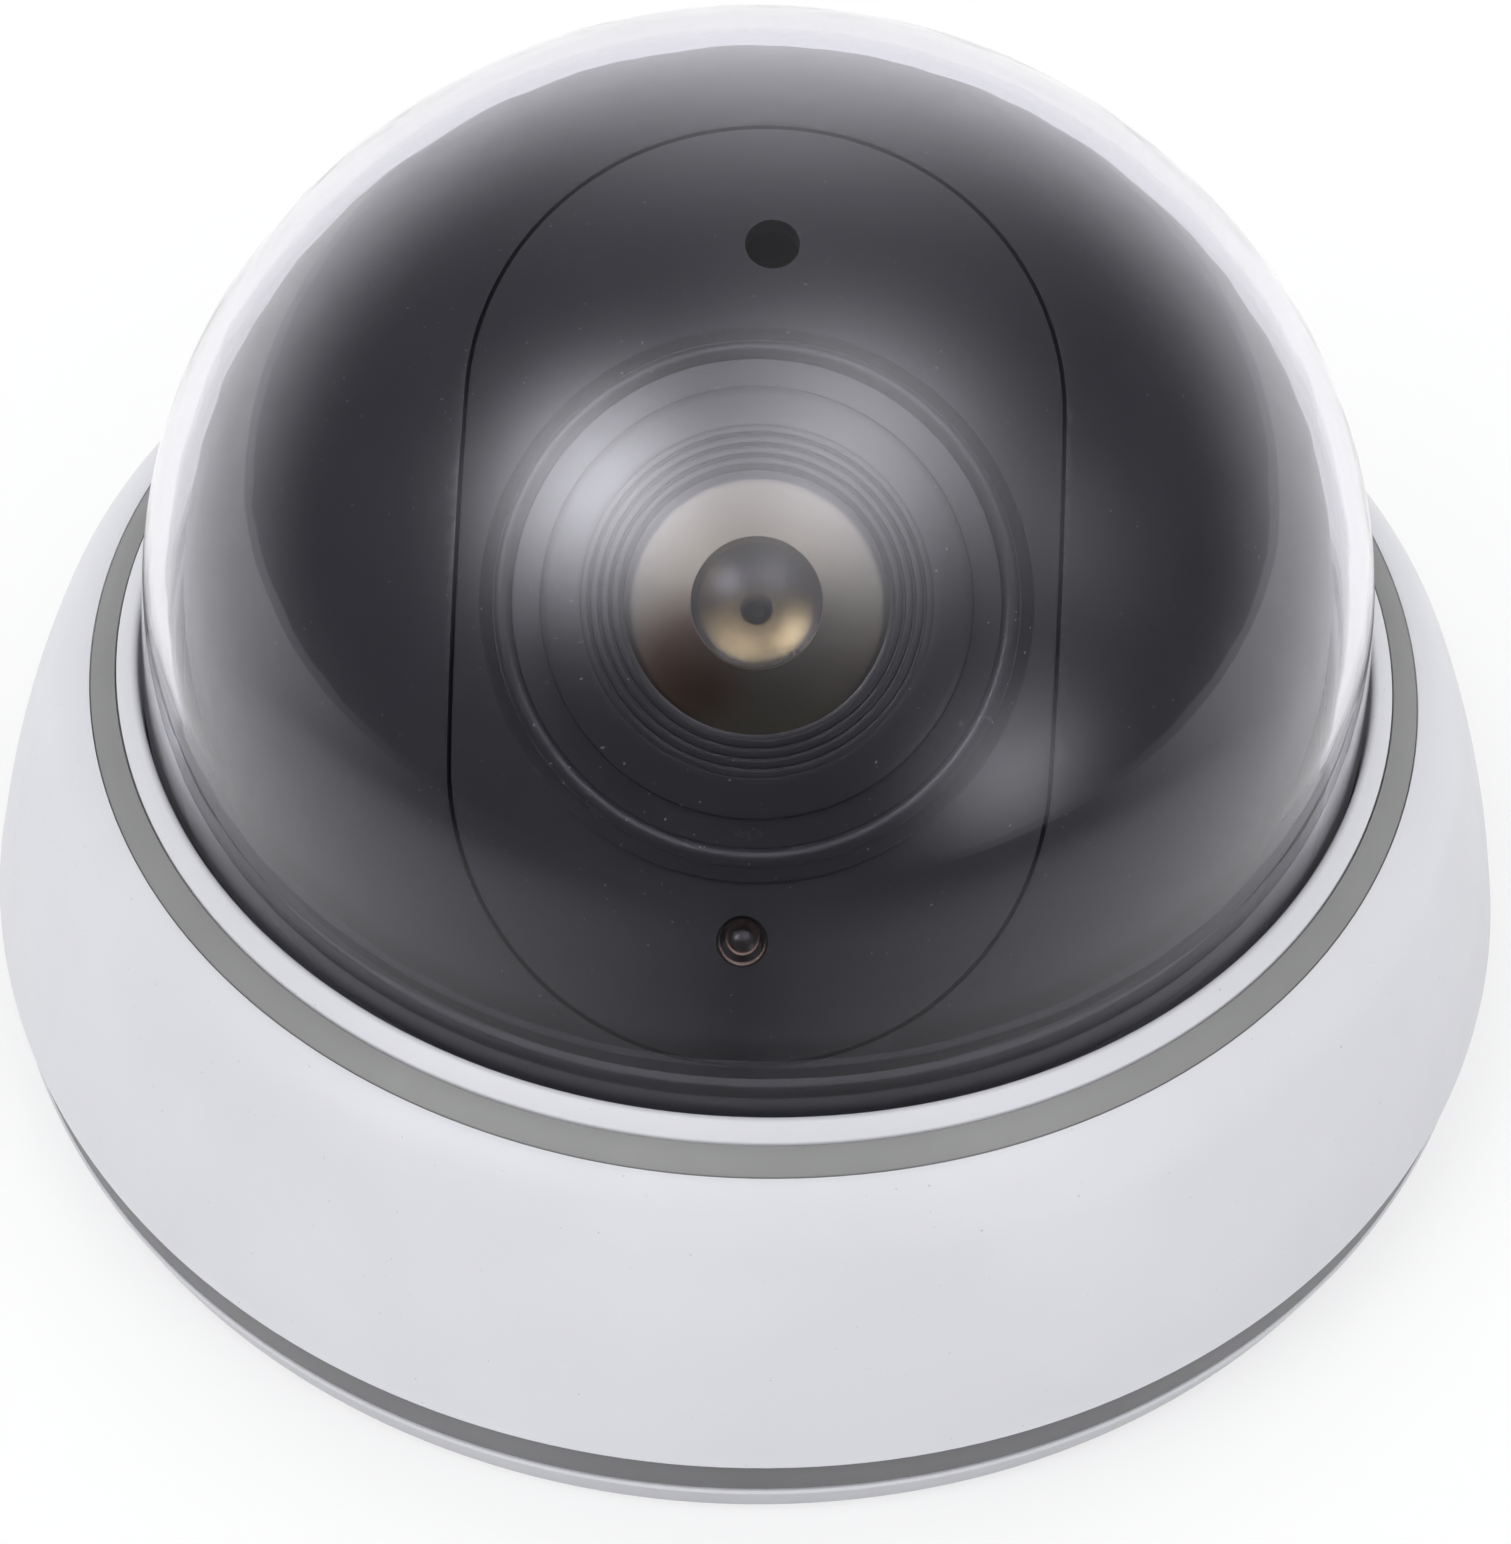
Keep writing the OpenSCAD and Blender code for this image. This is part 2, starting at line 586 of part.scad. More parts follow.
module board_screws() color([0.75, 0.75, 0.77]) in_module() for (s = [-1, 1])
    translate([s * post_x, -post_down, board_front - board_t]) {
        difference() {
            translate([0, 0, -board_head_h]) cylinder(r = board_head_r, h = board_head_h);
            for (a = [0, 90]) rotate([0, 0, a]) translate([0, 0, -board_head_h])
                cube([board_head_r * 1.4, board_slot, board_head_h], center = true);
        }
        translate([0, 0, -eps]) cylinder(r = board_screw_r, h = 3.5 * board_t);
    }

module back_cover() color(white) {
    wall_r = flange_r - 0.7;
    difference() {
        union() {
            translate([0, 0, cover_z]) cylinder(r = cover_r, h = cover_t);
            // upright wall that clamps both flanges against the housing
            difference() {
                translate([0, 0, cover_z]) cylinder(r = wall_r, h = liner_flange_z - cover_z);
                translate([0, 0, cover_top - eps]) cylinder(r = wall_r - 2, h = liner_flange_z);
            }
            block([-bay_half_l - bay_wall, -bay_half_w - bay_wall, cover_z],
                [bay_half_l + bay_wall, bay_half_w + bay_wall, bay_top + bay_wall]);
            // ribs on both sides of the switch
            for (s = [-1, 1]) translate([s * (switch_len / 2 + play + 0.6), -switch_y, cover_top + 1])
                cube([1.2, switch_w, 2 + 2 * eps], center = true);
        }
        block([-bay_half_l, -bay_half_w, cover_z - 1], [bay_half_l, bay_half_w, bay_top]);
        // the door's channel, its grooves, and the notches that let its tongues out
        block([-door_half_l - play, -door_half_w - play, cover_z - 1],
            [door_half_l + door_travel + play, door_half_w + play, cover_z + channel_t]);
        block([-door_half_l - play, -door_half_w - tongue_w - play, cover_z + channel_t - tongue_t - 0.15],
            [door_half_l + door_travel + play, door_half_w + tongue_w + play, cover_z + channel_t]);
        for (s = [-1, 1]) block(
            [s * tongue_x + door_travel - tongue_l / 2 - play, -door_half_w - tongue_w - play, cover_z - 1],
            [s * tongue_x + door_travel + tongue_l / 2 + play, door_half_w + tongue_w + play,
                cover_z + channel_t]);
        // slots of the solder tabs
        for (s = [-1, 1]) block([-bay_half_l - eps, s * cell_pitch / 2 - tab_w / 2 - play, bay_top - 1],
            [-bay_half_l + strip_t + play, s * cell_pitch / 2 + tab_w / 2 + play, bay_top + bay_wall + 1]);
        // slot of the switch's knob
        translate([switch_travel / 2 - 1, -switch_y, cover_z])
            cube([knob_l + switch_travel + 2 * play, knob_w + 2 * play, 4 * cover_t], center = true);
        for (i = [0:locks - 1]) rotate([0, 0, (i + 0.5) * 360 / locks]) translate([screw_ring_r, 0, 0]) {
            translate([0, 0, cover_z - 1]) cylinder(r = screw_r + play, h = cover_t + 2);
            translate([0, 0, cover_z - 1]) cylinder(r = screw_head_r + play, h = 3);
        }
    }
}

module cover_screws() color([0.75, 0.75, 0.77])
    for (i = [0:locks - 1]) rotate([0, 0, (i + 0.5) * 360 / locks])
        translate([screw_ring_r, 0, cover_z + 0.2]) difference() {
            union() {
                cylinder(r = screw_head_r, h = 1.8);
                cylinder(r = screw_r, h = cover_t + screw_reach);
            }
            for (a = [0, 90]) rotate([0, 0, a]) translate([0, 0, 0.4])
                cube([2.6, 0.7, 1.2], center = true);
        }

module battery_door() color(white) {
    door_top = cover_z + door_t;
    difference() {
        union() {
            block([-door_half_l, -door_half_w, cover_z], [door_half_l, door_half_w, door_top]);
            for (s = [-1, 1]) block(
                [s * tongue_x - tongue_l / 2, -door_half_w - tongue_w, door_top - tongue_t],
                [s * tongue_x + tongue_l / 2, door_half_w + tongue_w, door_top]);
        }
        // grooves for the thumb
        for (i = [0:4]) translate([-door_half_l + 5 + 2 * i, 0, cover_z])
            cube([0.9, 14, 0.9], center = true);
    }
}

// AA cell with its button at the end that side points to, +1 or -1 along X
module battery_cell(side)
    translate([-side * (bay_half_l - strip_t - spring_len), 0, cell_z]) rotate([0, side * 90, 0]) {
        color([0.20, 0.32, 0.55]) cylinder(r = cell_r, h = cell_len - button_h);
        color([0.75, 0.75, 0.77]) translate([0, 0, cell_len - button_h - eps])
            cylinder(r = button_r, h = button_h + eps);
    }

module battery_cell_1() translate([0, cell_pitch / 2, 0]) battery_cell(1);
module battery_cell_2() translate([0, -cell_pitch / 2, 0]) battery_cell(-1);

module battery_springs() color([0.75, 0.75, 0.77]) for (s = [-1, 1]) {
    turns = 3;
    n = 14 * turns;
    x0 = bay_half_l - strip_t - spring_wire_r;
    pitch_len = spring_len - 2 * spring_wire_r - snug;
    coil = [for (i = [0:n]) let (
        r = spring_foot_r + (spring_tip_r - spring_foot_r) * i / n,
        a = 360 * turns * i / n)
        [-s * (x0 - pitch_len * i / n), s * cell_pitch / 2 + r * cos(a), cell_z + r * sin(a)]];
    tube(coil, spring_wire_r, [1, 0, 0], 6);
}

module battery_contacts() color([0.78, 0.78, 0.80]) {
    low = cell_z - strip_w / 2;
    high = cell_z + strip_w / 2;
    // one strip joins both cells at the +X end
    block([bay_half_l - strip_t, -cell_pitch / 2 - strip_w / 2, low],
        [bay_half_l, cell_pitch / 2 + strip_w / 2, high]);
    // two strips with solder tabs at the -X end
    for (s = [-1, 1]) {
        block([-bay_half_l, s * cell_pitch / 2 - strip_w / 2, low],
            [-bay_half_l + strip_t, s * cell_pitch / 2 + strip_w / 2, high]);
        block([-bay_half_l, s * cell_pitch / 2 - tab_w / 2, high - eps],
            [-bay_half_l + strip_t, s * cell_pitch / 2 + tab_w / 2, bay_top + bay_wall + tab_h]);
    }
}

module switch_body() color([0.55, 0.56, 0.58]) difference() {
    union() {
        translate([0, -switch_y, cover_top + switch_h / 2])
            cube([switch_len, switch_w, switch_h], center = true);
        for (s = [-1, 0, 1]) translate([s * pin_x, -switch_y, cover_top + switch_h + pin_h / 2 - eps])
            cube([0.8, 0.4, pin_h + 2 * eps], center = true);
    }
    // window in which the knob's foot slides
    translate([switch_travel / 2 - 1, -switch_y, cover_top])
        cube([knob_l + switch_travel + 2 * play, knob_w + 2 * play, 4], center = true);
}

module switch_knob() color(black)
    block([-1 - knob_l / 2, -switch_y - knob_w / 2, cover_z - knob_out],
        [-1 + knob_l / 2, -switch_y + knob_w / 2, cover_top + 2 - play]);

tab_z = bay_top + bay_wall + tab_h;
tab_x = -bay_half_l + strip_t / 2;
bay_side = bay_half_w + bay_wall;
pin_top = cover_top + switch_h + pin_h;
// Points behind the flasher board where the wires end, and where they turn towards it; side is +1 or -1
solder_gap = 0.3;
function solder(side) =
    from_module(side * (post_x - 0.2), -led_down + 1.1, board_front - board_t - solder_gap);
function solder_turn(side) = solder(side) + 5 * wire_r * [0, cos(lens_tilt), -sin(lens_tilt)];

module red_wire() color([0.75, 0.10, 0.08]) tube(smooth([[tab_x, -cell_pitch / 2, tab_z + wire_r],
    [tab_x - 2 * wire_r, -bay_half_w, tab_z + wire_r],
    [tab_x + 2 * wire_r, -bay_side - 9 * wire_r, bay_top + wire_r],
    [tab_x / 2, -switch_y, pin_top + 6 * wire_r], [-pin_x, -switch_y, pin_top + wire_r]]), wire_r, [0, 0, 1]);

module switch_wire() color([0.75, 0.10, 0.08]) tube(smooth([[pin_x, -switch_y, pin_top],
    [pin_x + wire_r, -switch_y + wire_r, pin_top + 9 * wire_r],
    [pin_x + 3 * wire_r, -switch_y, (pin_top + solder_turn(1)[2]) / 2 + 4 * wire_r],
    solder_turn(1), solder(1)]), wire_r, [1, 0, 0]);

module black_wire() color(black) tube(smooth([[tab_x, cell_pitch / 2, tab_z + wire_r],
    [tab_x + 6 * wire_r, 0, tab_z + 5 * wire_r],
    [tab_x / 2, -bay_half_w, tab_z + 8 * wire_r],
    solder_turn(-1), solder(-1)]), wire_r, [0.3, 1, 0]);

base_plate();
housing();
upper_trim_ring();
lower_trim_ring();
clear_dome();
inner_liner();
camera_module();
lens_bezel();
lens();
lens_reflector();
lens_cap();
led();
led_board();
flasher_chip();
led_resistor();
board_screws();
back_cover();
cover_screws();
battery_door();
battery_cell_1();
battery_cell_2();
battery_springs();
battery_contacts();
switch_body();
switch_knob();
red_wire();
switch_wire();
black_wire();
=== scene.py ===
# %% [markdown]
# # A battery-powered dome camera
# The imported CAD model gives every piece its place. This lesson dresses it: it builds
# the pieces that show with Blender's own tools, and gives each one a procedural finish.
# All sizes below are in millimetres, and MM turns them into Blender's metres.

# %% Load the fixed frame
import bpy
import math
from mathutils import Matrix, Vector


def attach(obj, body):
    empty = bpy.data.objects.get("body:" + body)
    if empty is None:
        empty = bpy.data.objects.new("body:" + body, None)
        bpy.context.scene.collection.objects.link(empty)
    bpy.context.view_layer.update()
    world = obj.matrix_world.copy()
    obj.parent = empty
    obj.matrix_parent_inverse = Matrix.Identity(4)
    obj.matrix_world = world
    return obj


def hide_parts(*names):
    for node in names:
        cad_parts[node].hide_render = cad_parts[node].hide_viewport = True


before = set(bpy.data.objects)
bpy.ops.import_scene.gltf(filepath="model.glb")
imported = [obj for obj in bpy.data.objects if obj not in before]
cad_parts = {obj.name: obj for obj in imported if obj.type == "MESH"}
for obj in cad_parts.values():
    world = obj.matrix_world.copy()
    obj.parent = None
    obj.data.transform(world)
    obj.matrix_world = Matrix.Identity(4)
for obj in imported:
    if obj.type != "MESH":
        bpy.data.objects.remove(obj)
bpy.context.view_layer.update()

# %% [markdown]
# ## Sizes
# A turned product is a handful of radii and heights. Writing them once, and computing
# what follows from them, keeps pieces that touch on the same line. In every name, R is a
# radius, Z a height above the mounting surface, and DEG an angle above the horizon.

# %% Sizes that the pieces share
MM = 0.001
FOOT_R, FOOT_Z = 60.0, 7.4
FLARE_R, FLARE_LEAN = 84.5, 12.0
SHOULDER_R = 7.5
LIP_R, LIP_Z, LIP_EDGE = 46.54, 30.2, 0.4
TOP_SLOPE = 25.6
SHELL_WALL = 2.2
CLAMP_Z = 26.2
DOME_R, DOME_RISE, DOME_Z = 45.54, 40.75, 33.66
DOME_WALL = 1.7
CROWN_DEG = 37.0
DOME_FLANGE_Z = 24.6
LINER_FLANGE_Z = 23.2
FLANGE_R = 48.9
LINER_GAP, LINER_WALL = 3.0, 1.6
LENS_TILT = 49.6
# The dome's foot spreads by DRAFT degrees below its side curve, down to SKIRT_TURN.
SKIRT_TURN, DRAFT = 29.8, 7.4


def sind(a):
    return math.sin(math.radians(a))


def cosd(a):
    return math.cos(math.radians(a))


def arc(c, r, a0, a1, n):
    """Points of an arc about c from angle a0 to a1, in degrees."""
    return [(c[0] + r * cosd(a0 + (a1 - a0) * i / n), c[1] + r * sind(a0 + (a1 - a0) * i / n))
            for i in range(n + 1)]


# %% What follows from the sizes
centres = (DOME_R - DOME_RISE) / (sind(CROWN_DEG) + cosd(CROWN_DEG) - 1)
SIDE_R = DOME_R - centres * cosd(CROWN_DEG)
CROWN_R = DOME_RISE + centres * sind(CROWN_DEG)
CROWN_Z = DOME_Z + DOME_RISE - CROWN_R
LINER_R = CROWN_R - LINER_GAP
POLE = Vector((0, -LINER_R * cosd(LENS_TILT), CROWN_Z + LINER_R * sind(LENS_TILT))) * MM
IN_MODULE = Matrix.Translation(POLE) @ Matrix.Rotation(math.radians(90 - LENS_TILT), 4, "X")
flare_c = (FOOT_R - FLARE_R * cosd(FLARE_LEAN), FOOT_Z - FLARE_R * sind(FLARE_LEAN))
top_n = (sind(TOP_SLOPE), cosd(TOP_SLOPE))
reach = (LIP_R * top_n[0] + LIP_Z * top_n[1] - flare_c[0] * top_n[0] - flare_c[1] * top_n[1]
         - SHOULDER_R) / (FLARE_R - SHOULDER_R)
SHOULDER_DEG = 90 - TOP_SLOPE - math.degrees(math.acos(reach))
shoulder_c = (flare_c[0] + (FLARE_R - SHOULDER_R) * cosd(SHOULDER_DEG),
              flare_c[1] + (FLARE_R - SHOULDER_R) * sind(SHOULDER_DEG))


# %% Lines of the section
def top_at(r):
    """Height of the housing's sloping top at radius r."""
    return LIP_Z - (r - LIP_R) * math.tan(math.radians(TOP_SLOPE))


def face_at(r):
    """Height of the inner shell's surface at distance r from the lens, seen along the lens."""
    return math.sqrt(LINER_R ** 2 - r ** 2) - LINER_R


def dome_line(inset, floor_z, n_side=36, n_crown=50, draft=0.0):
    """Section line from the floor up to the top, inset inside the dome's outer face."""
    side = arc((DOME_R - SIDE_R, DOME_Z), SIDE_R - inset, draft, CROWN_DEG, n_side)
    crown = arc((0, CROWN_Z), CROWN_R - inset, CROWN_DEG, 90, n_crown)[1:-1]
    foot = [(side[0][0], floor_z)]
    if draft:
        spread = math.tan(math.radians(draft)) * (side[0][1] - SKIRT_TURN)
        foot = [(side[0][0] + spread, floor_z), (side[0][0] + spread, SKIRT_TURN)]
    return foot + side + crown + [(0, CROWN_Z + CROWN_R - inset)]


print("crown radius %.2f, shoulder at %.1f degrees, lens pole %s" % (CROWN_R, SHOULDER_DEG, POLE))

# %% [markdown]
# ## Camera
# The camera comes first, so that every later step can be checked in its view. It is
# given by its place, the directions of its right and its up, and a lens for a 36 mm sensor.

# %% Camera
CAM_LENS, CAM_SENSOR = 71.45, 36.0
CAM_PLACE = Vector((0.38, -164.08, 195.98)) * MM
cam_data = bpy.data.cameras.new("camera")
cam_data.lens = CAM_LENS
cam_data.sensor_width = CAM_SENSOR
cam = bpy.data.objects.new("camera", cam_data)
bpy.context.scene.collection.objects.link(cam)
cam_right = Vector((0.9991, 0.0324, 0.0289)).normalized()
cam_up = Vector((-0.0434, 0.7457, 0.6649))
cam_up = (cam_up - cam_up.dot(cam_right) * cam_right).normalized()
cam_back = cam_right.cross(cam_up)
turn = Matrix((cam_right, cam_up, cam_back)).transposed().to_4x4()
cam.matrix_world = Matrix.Translation(CAM_PLACE) @ turn
bpy.context.scene.camera = cam
print("camera looks along", -cam_back)

# %% [markdown]
# ## Helpers for modelling
# An operator acts on all that is selected, so each helper starts from nothing selected.
# A lathe turns a section round an axis: one point is extruded along the section, and
# Spin sweeps it round. Doubles are merged before the normals are made consistent.


# %% Picking
def pick_nothing():
    """Leaves edit mode, with nothing selected."""
    if bpy.context.mode != "OBJECT":
        bpy.ops.object.mode_set(mode="OBJECT")
    bpy.ops.object.select_all(action="DESELECT")


def pick(piece):
    """Selects one piece alone and makes it active."""
    pick_nothing()
    piece.select_set(True)
    bpy.context.view_layer.objects.active = piece


# %% Cleaning a mesh
MERGE_GAP, THIN_GAP = 0.002, 0.0002


def settle(piece):
    """Bakes the object's place into its mesh, so that the object sits at the origin."""
    pick(piece)
    bpy.ops.object.transform_apply(location=True, rotation=True, scale=True)


def tidy_mesh(piece):
    """Merges doubles, then turns all faces outwards."""
    pick(piece)
    bpy.ops.object.mode_set(mode="EDIT")
    bpy.ops.mesh.select_all(action="SELECT")
    bpy.ops.mesh.remove_doubles(threshold=MERGE_GAP * MM)
    bpy.ops.mesh.dissolve_degenerate(threshold=THIN_GAP * MM)
    bpy.ops.mesh.normals_make_consistent(inside=False)
    bpy.ops.object.mode_set(mode="OBJECT")


print("meshes are merged within %.3f mm" % MERGE_GAP)


# %% The lathe
def lathe(name, section, steps=192, angle=360, place=None):
    """Spins a closed section of (radius, height) points round Z. place moves it afterwards."""
    pick_nothing()
    start = Vector((section[0][0], 0, section[0][1])) * MM
    bpy.ops.mesh.primitive_plane_add(size=MM, location=start)
    piece = bpy.context.object
    piece.name = piece.data.name = name
    settle(piece)
    bpy.ops.object.mode_set(mode="EDIT")
    bpy.ops.mesh.select_all(action="SELECT")
    bpy.ops.mesh.merge(type="CENTER")
    here = section[0]
    for point in section[1:] + section[:1]:
        step = ((point[0] - here[0]) * MM, 0, (point[1] - here[1]) * MM)
        bpy.ops.mesh.extrude_vertices_move(TRANSFORM_OT_translate={"value": step})
        here = point
    bpy.ops.mesh.select_all(action="SELECT")
    bpy.ops.mesh.remove_doubles(threshold=MERGE_GAP / 2 * MM)
    if angle < 360:
        bpy.ops.mesh.edge_face_add()
    bpy.ops.mesh.spin(steps=steps, angle=math.radians(angle), center=(0, 0, 0), axis=(0, 0, 1))
    bpy.ops.object.mode_set(mode="OBJECT")
    if place is not None:
        piece.matrix_world = place
        settle(piece)
    tidy_mesh(piece)
    return piece


def ring(r_in, r_out, z_low, z_high):
    """Section of a flat ring, or of a pin where r_in is 0."""
    return [(r_in, z_low), (r_out, z_low), (r_out, z_high), (r_in, z_high)]


def out_at(angle, radius):
    """Place at an angle and a radius round the object's axis."""
    return Matrix.Rotation(math.radians(angle), 4, "Z") @ Matrix.Translation((radius * MM, 0, 0))


def turned(piece, degrees):
    """Turns a finished piece about the object's axis."""
    piece.matrix_world = Matrix.Rotation(math.radians(degrees), 4, "Z")
    settle(piece)
    return piece


# %% Modifiers
def modify(piece, kind, **settings):
    """Adds a modifier, sets it and applies it."""
    pick(piece)
    mod = piece.modifiers.new(kind.lower(), kind)
    for key, value in settings.items():
        setattr(mod, key, value)
    bpy.ops.object.modifier_apply(modifier=mod.name)
    return piece


def round_edges(piece, width, angle=35):
    """Bevels the edges that turn by more than an angle."""
    return modify(piece, "BEVEL", width=width * MM, segments=2, limit_method="ANGLE",
                  angle_limit=math.radians(angle), harden_normals=False)


def carve(piece, tool, how="DIFFERENCE"):
    """Cuts, joins or crosses a piece with a tool, which is then used up."""
    modify(piece, "BOOLEAN", object=tool, operation=how, solver="EXACT")
    bpy.data.objects.remove(tool)
    return piece


def join(pieces, name):
    """Makes one object of several."""
    pick(pieces[0])
    for other in pieces[1:]:
        other.select_set(True)
    bpy.ops.object.join()
    pieces[0].name = pieces[0].data.name = name
    return pieces[0]


# %% Dressing a piece
def dress(piece, body, slot, finish, *replaced, angle=28):
    """Gives a piece its finish, its body and the CAD nodes that it stands for."""
    pick(piece)
    bpy.ops.object.shade_smooth_by_angle(angle=math.radians(angle))
    piece.data.materials.clear()
    piece.data.materials.append(finish)
    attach(piece, body)
    if replaced:
        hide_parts(*replaced)
    print("%-16s %6d faces" % (piece.name, len(piece.data.polygons)))
    return piece


# %% [markdown]
# ## Helpers for finishes
# Moulded plastic is never one flat colour. Each finish below starts from one Principled
# shader and adds what the eye expects at that scale: a fine bump, a roughness that wanders,
# and sparse specks of dust. All patterns read Object coordinates, so they stay on the piece.


# %% Node helpers
def new_finish(name):
    """A material with its node tree and its shader."""
    mat = bpy.data.materials.new(name)
    mat.use_nodes = True
    return mat, mat.node_tree, mat.node_tree.nodes["Principled BSDF"]


def add(tree, kind, **settings):
    """Adds a node and sets it."""
    node = tree.nodes.new(kind)
    for key, value in settings.items():
        setattr(node, key, value)
    return node


def feed(tree, socket, value):
    """Links a socket, or sets it where the value is a constant."""
    if isinstance(value, bpy.types.NodeSocket):
        tree.links.new(value, socket)
    else:
        socket.default_value = value


def noise(tree, scale, detail=2.0):
    """Object-space noise. scale counts per millimetre."""
    where = add(tree, "ShaderNodeTexCoord")
    size = add(tree, "ShaderNodeMapping")
    size.inputs["Scale"].default_value = [1 / MM] * 3
    tree.links.new(where.outputs["Object"], size.inputs["Vector"])
    cloud = add(tree, "ShaderNodeTexNoise")
    cloud.inputs["Scale"].default_value = scale
    cloud.inputs["Detail"].default_value = detail
    tree.links.new(size.outputs["Vector"], cloud.inputs["Vector"])
    return cloud.outputs["Fac"]


def ramp(tree, value, low, high, start=0.0, end=1.0):
    """Maps value from start..end to low..high, with soft ends."""
    node = add(tree, "ShaderNodeMapRange", interpolation_type="SMOOTHSTEP")
    node.inputs["From Min"].default_value = start
    node.inputs["From Max"].default_value = end
    node.inputs["To Min"].default_value = low
    node.inputs["To Max"].default_value = high
    tree.links.new(value, node.inputs["Value"])
    return node.outputs["Result"]


def blend_colours(tree, factor, a, b):
    """Goes from colour a to colour b as factor goes from 0 to 1."""
    node = add(tree, "ShaderNodeMix", data_type="RGBA")
    for socket, colour in ((6, a), (7, b)):
        feed(tree, node.inputs[socket], (*colour, 1) if isinstance(colour, tuple) else colour)
    tree.links.new(factor, node.inputs["Factor"])
    return node.outputs[2]


def blend_numbers(tree, factor, a, b):
    """Goes from number a to number b as factor goes from 0 to 1."""
    node = add(tree, "ShaderNodeMix", data_type="FLOAT")
    for socket, value in (("Factor", factor), (2, a), (3, b)):
        feed(tree, node.inputs[socket], value)
    return node.outputs[0]


def blend_shaders(tree, factor, a, b):
    """Goes from shader a to shader b as factor goes from 0 to 1."""
    node = add(tree, "ShaderNodeMixShader")
    for socket, value in enumerate((factor, a, b)):
        tree.links.new(value, node.inputs[socket])
    return node.outputs[0]


def bump(tree, shader, *layers):
    """Stacks bumps of (height socket, depth in millimetres) on a shader."""
    last = None
    for height, depth in layers:
        node = add(tree, "ShaderNodeBump")
        node.inputs["Strength"].default_value = 1.0
        node.inputs["Distance"].default_value = depth * MM
        tree.links.new(height, node.inputs["Height"])
        if last is not None:
            tree.links.new(last.outputs["Normal"], node.inputs["Normal"])
        last = node
    tree.links.new(last.outputs["Normal"], shader.inputs["Normal"])


# %% Moulded plastic
# Counts per millimetre of the colour's drift, the dust, the gloss and the soft waviness.
DRIFT, DUST, GLOSS, WAVES = 0.05, 3.0, 0.35, 0.08


def moulded(name, colour, shade, rough, grain, depth, specks=0.0, speck_colour=(0.5, 0.5, 0.5)):
    """Colour that drifts a little to shade, fine grain, wandering gloss, and dust.

    specks is the level of the dust's noise above which a speck shows: 0 leaves dust out.
    """
    mat, tree, shader = new_finish(name)
    drift = ramp(tree, noise(tree, DRIFT, 3), 0, 1, 0.3, 0.7)
    tint = blend_colours(tree, drift, colour, shade)
    if specks:
        dust = ramp(tree, noise(tree, DUST, 1), 0, 1, specks, specks + 0.03)
        tint = blend_colours(tree, dust, tint, speck_colour)
    tree.links.new(tint, shader.inputs["Base Color"])
    gloss = ramp(tree, noise(tree, GLOSS, 4), rough * 0.9, rough * 1.1, 0.25, 0.75)
    tree.links.new(gloss, shader.inputs["Roughness"])
    bump(tree, shader, (noise(tree, grain, 2), depth), (noise(tree, WAVES, 2), depth * 4))
    return mat


print("finish helpers ready")


# %% [markdown]
# ## White and grey plastic
# The housing is injection-moulded ABS with a satin skin. The two trim rings are painted
# grey, so they are a little rougher and their paint has a fine brushed variation.

# %% White and grey finishes
satin_white = moulded("satin_white", (0.70, 0.70, 0.735), (0.67, 0.67, 0.71), 0.42, 2.2, 0.0012,
                      specks=0.78, speck_colour=(0.5, 0.5, 0.52))
ring_paint = moulded("ring_paint", (0.27, 0.27, 0.268), (0.24, 0.24, 0.238), 0.48, 1.6, 0.003)
# The lower ring's finish is the upper ring's grey paint made darker and cooler: painted shade for
# its place under the housing's foot.
shaded_ring_paint = moulded("shaded_ring_paint", (0.215, 0.215, 0.225), (0.185, 0.185, 0.195), 0.45, 1.6, 0.003)
print(satin_white.name, ring_paint.name, shaded_ring_paint.name)

# %% [markdown]
# ## Clear dome plastic
# Light passes the dome twice on its way in and out. A real refracting wall gives the
# bright band at the outline. Lamps' rays would be stopped by such a wall, so for shadow
# rays the shader is swapped for a transparent one, which lets the lamps light what is behind.


# %% Clear finishes
COOL_GLOSS = (0.975, 0.965, 1.0, 1)
SHADOW_TINT = (0.93, 0.93, 0.94, 1)
CLOUDS = 0.12


def clear_plastic(name, tint, ior, rough, ripple):
    """Refracting plastic with a little haze and a faint ripple, that lets lamps through."""
    mat, tree, shader = new_finish(name)
    shader.inputs["Base Color"].default_value = (*tint, 1)
    shader.inputs["IOR"].default_value = ior
    shader.inputs["Transmission Weight"].default_value = 1.0
    shader.inputs["Specular Tint"].default_value = COOL_GLOSS
    haze = ramp(tree, noise(tree, CLOUDS, 2), rough * 0.75, rough * 1.25, 0.25, 0.75)
    tree.links.new(haze, shader.inputs["Roughness"])
    bump(tree, shader, (noise(tree, CLOUDS, 2), ripple))
    window = add(tree, "ShaderNodeBsdfTransparent")
    window.inputs["Color"].default_value = SHADOW_TINT
    for_lamps = add(tree, "ShaderNodeLightPath").outputs["Is Shadow Ray"]
    either = blend_shaders(tree, for_lamps, shader.outputs[0], window.outputs[0])
    tree.links.new(either, tree.nodes["Material Output"].inputs["Surface"])
    return mat


dome_plastic = clear_plastic("dome_plastic", (0.825, 0.818, 0.872), 1.52, 0.012, 0.02)
lens_plastic = clear_plastic("lens_plastic", (0.95, 0.94, 0.91), 1.49, 0.03, 0.0)
lamp_plastic = clear_plastic("lamp_plastic", (0.60, 0.48, 0.42), 1.50, 0.015, 0.002)
print(dome_plastic.name, lens_plastic.name, lamp_plastic.name)

# %% [markdown]
# ## Black plastic
# The inner shell and the lens module are black polystyrene. Dust shows on black as fine
# pale specks, and the gloss is what draws the soft pools of light.

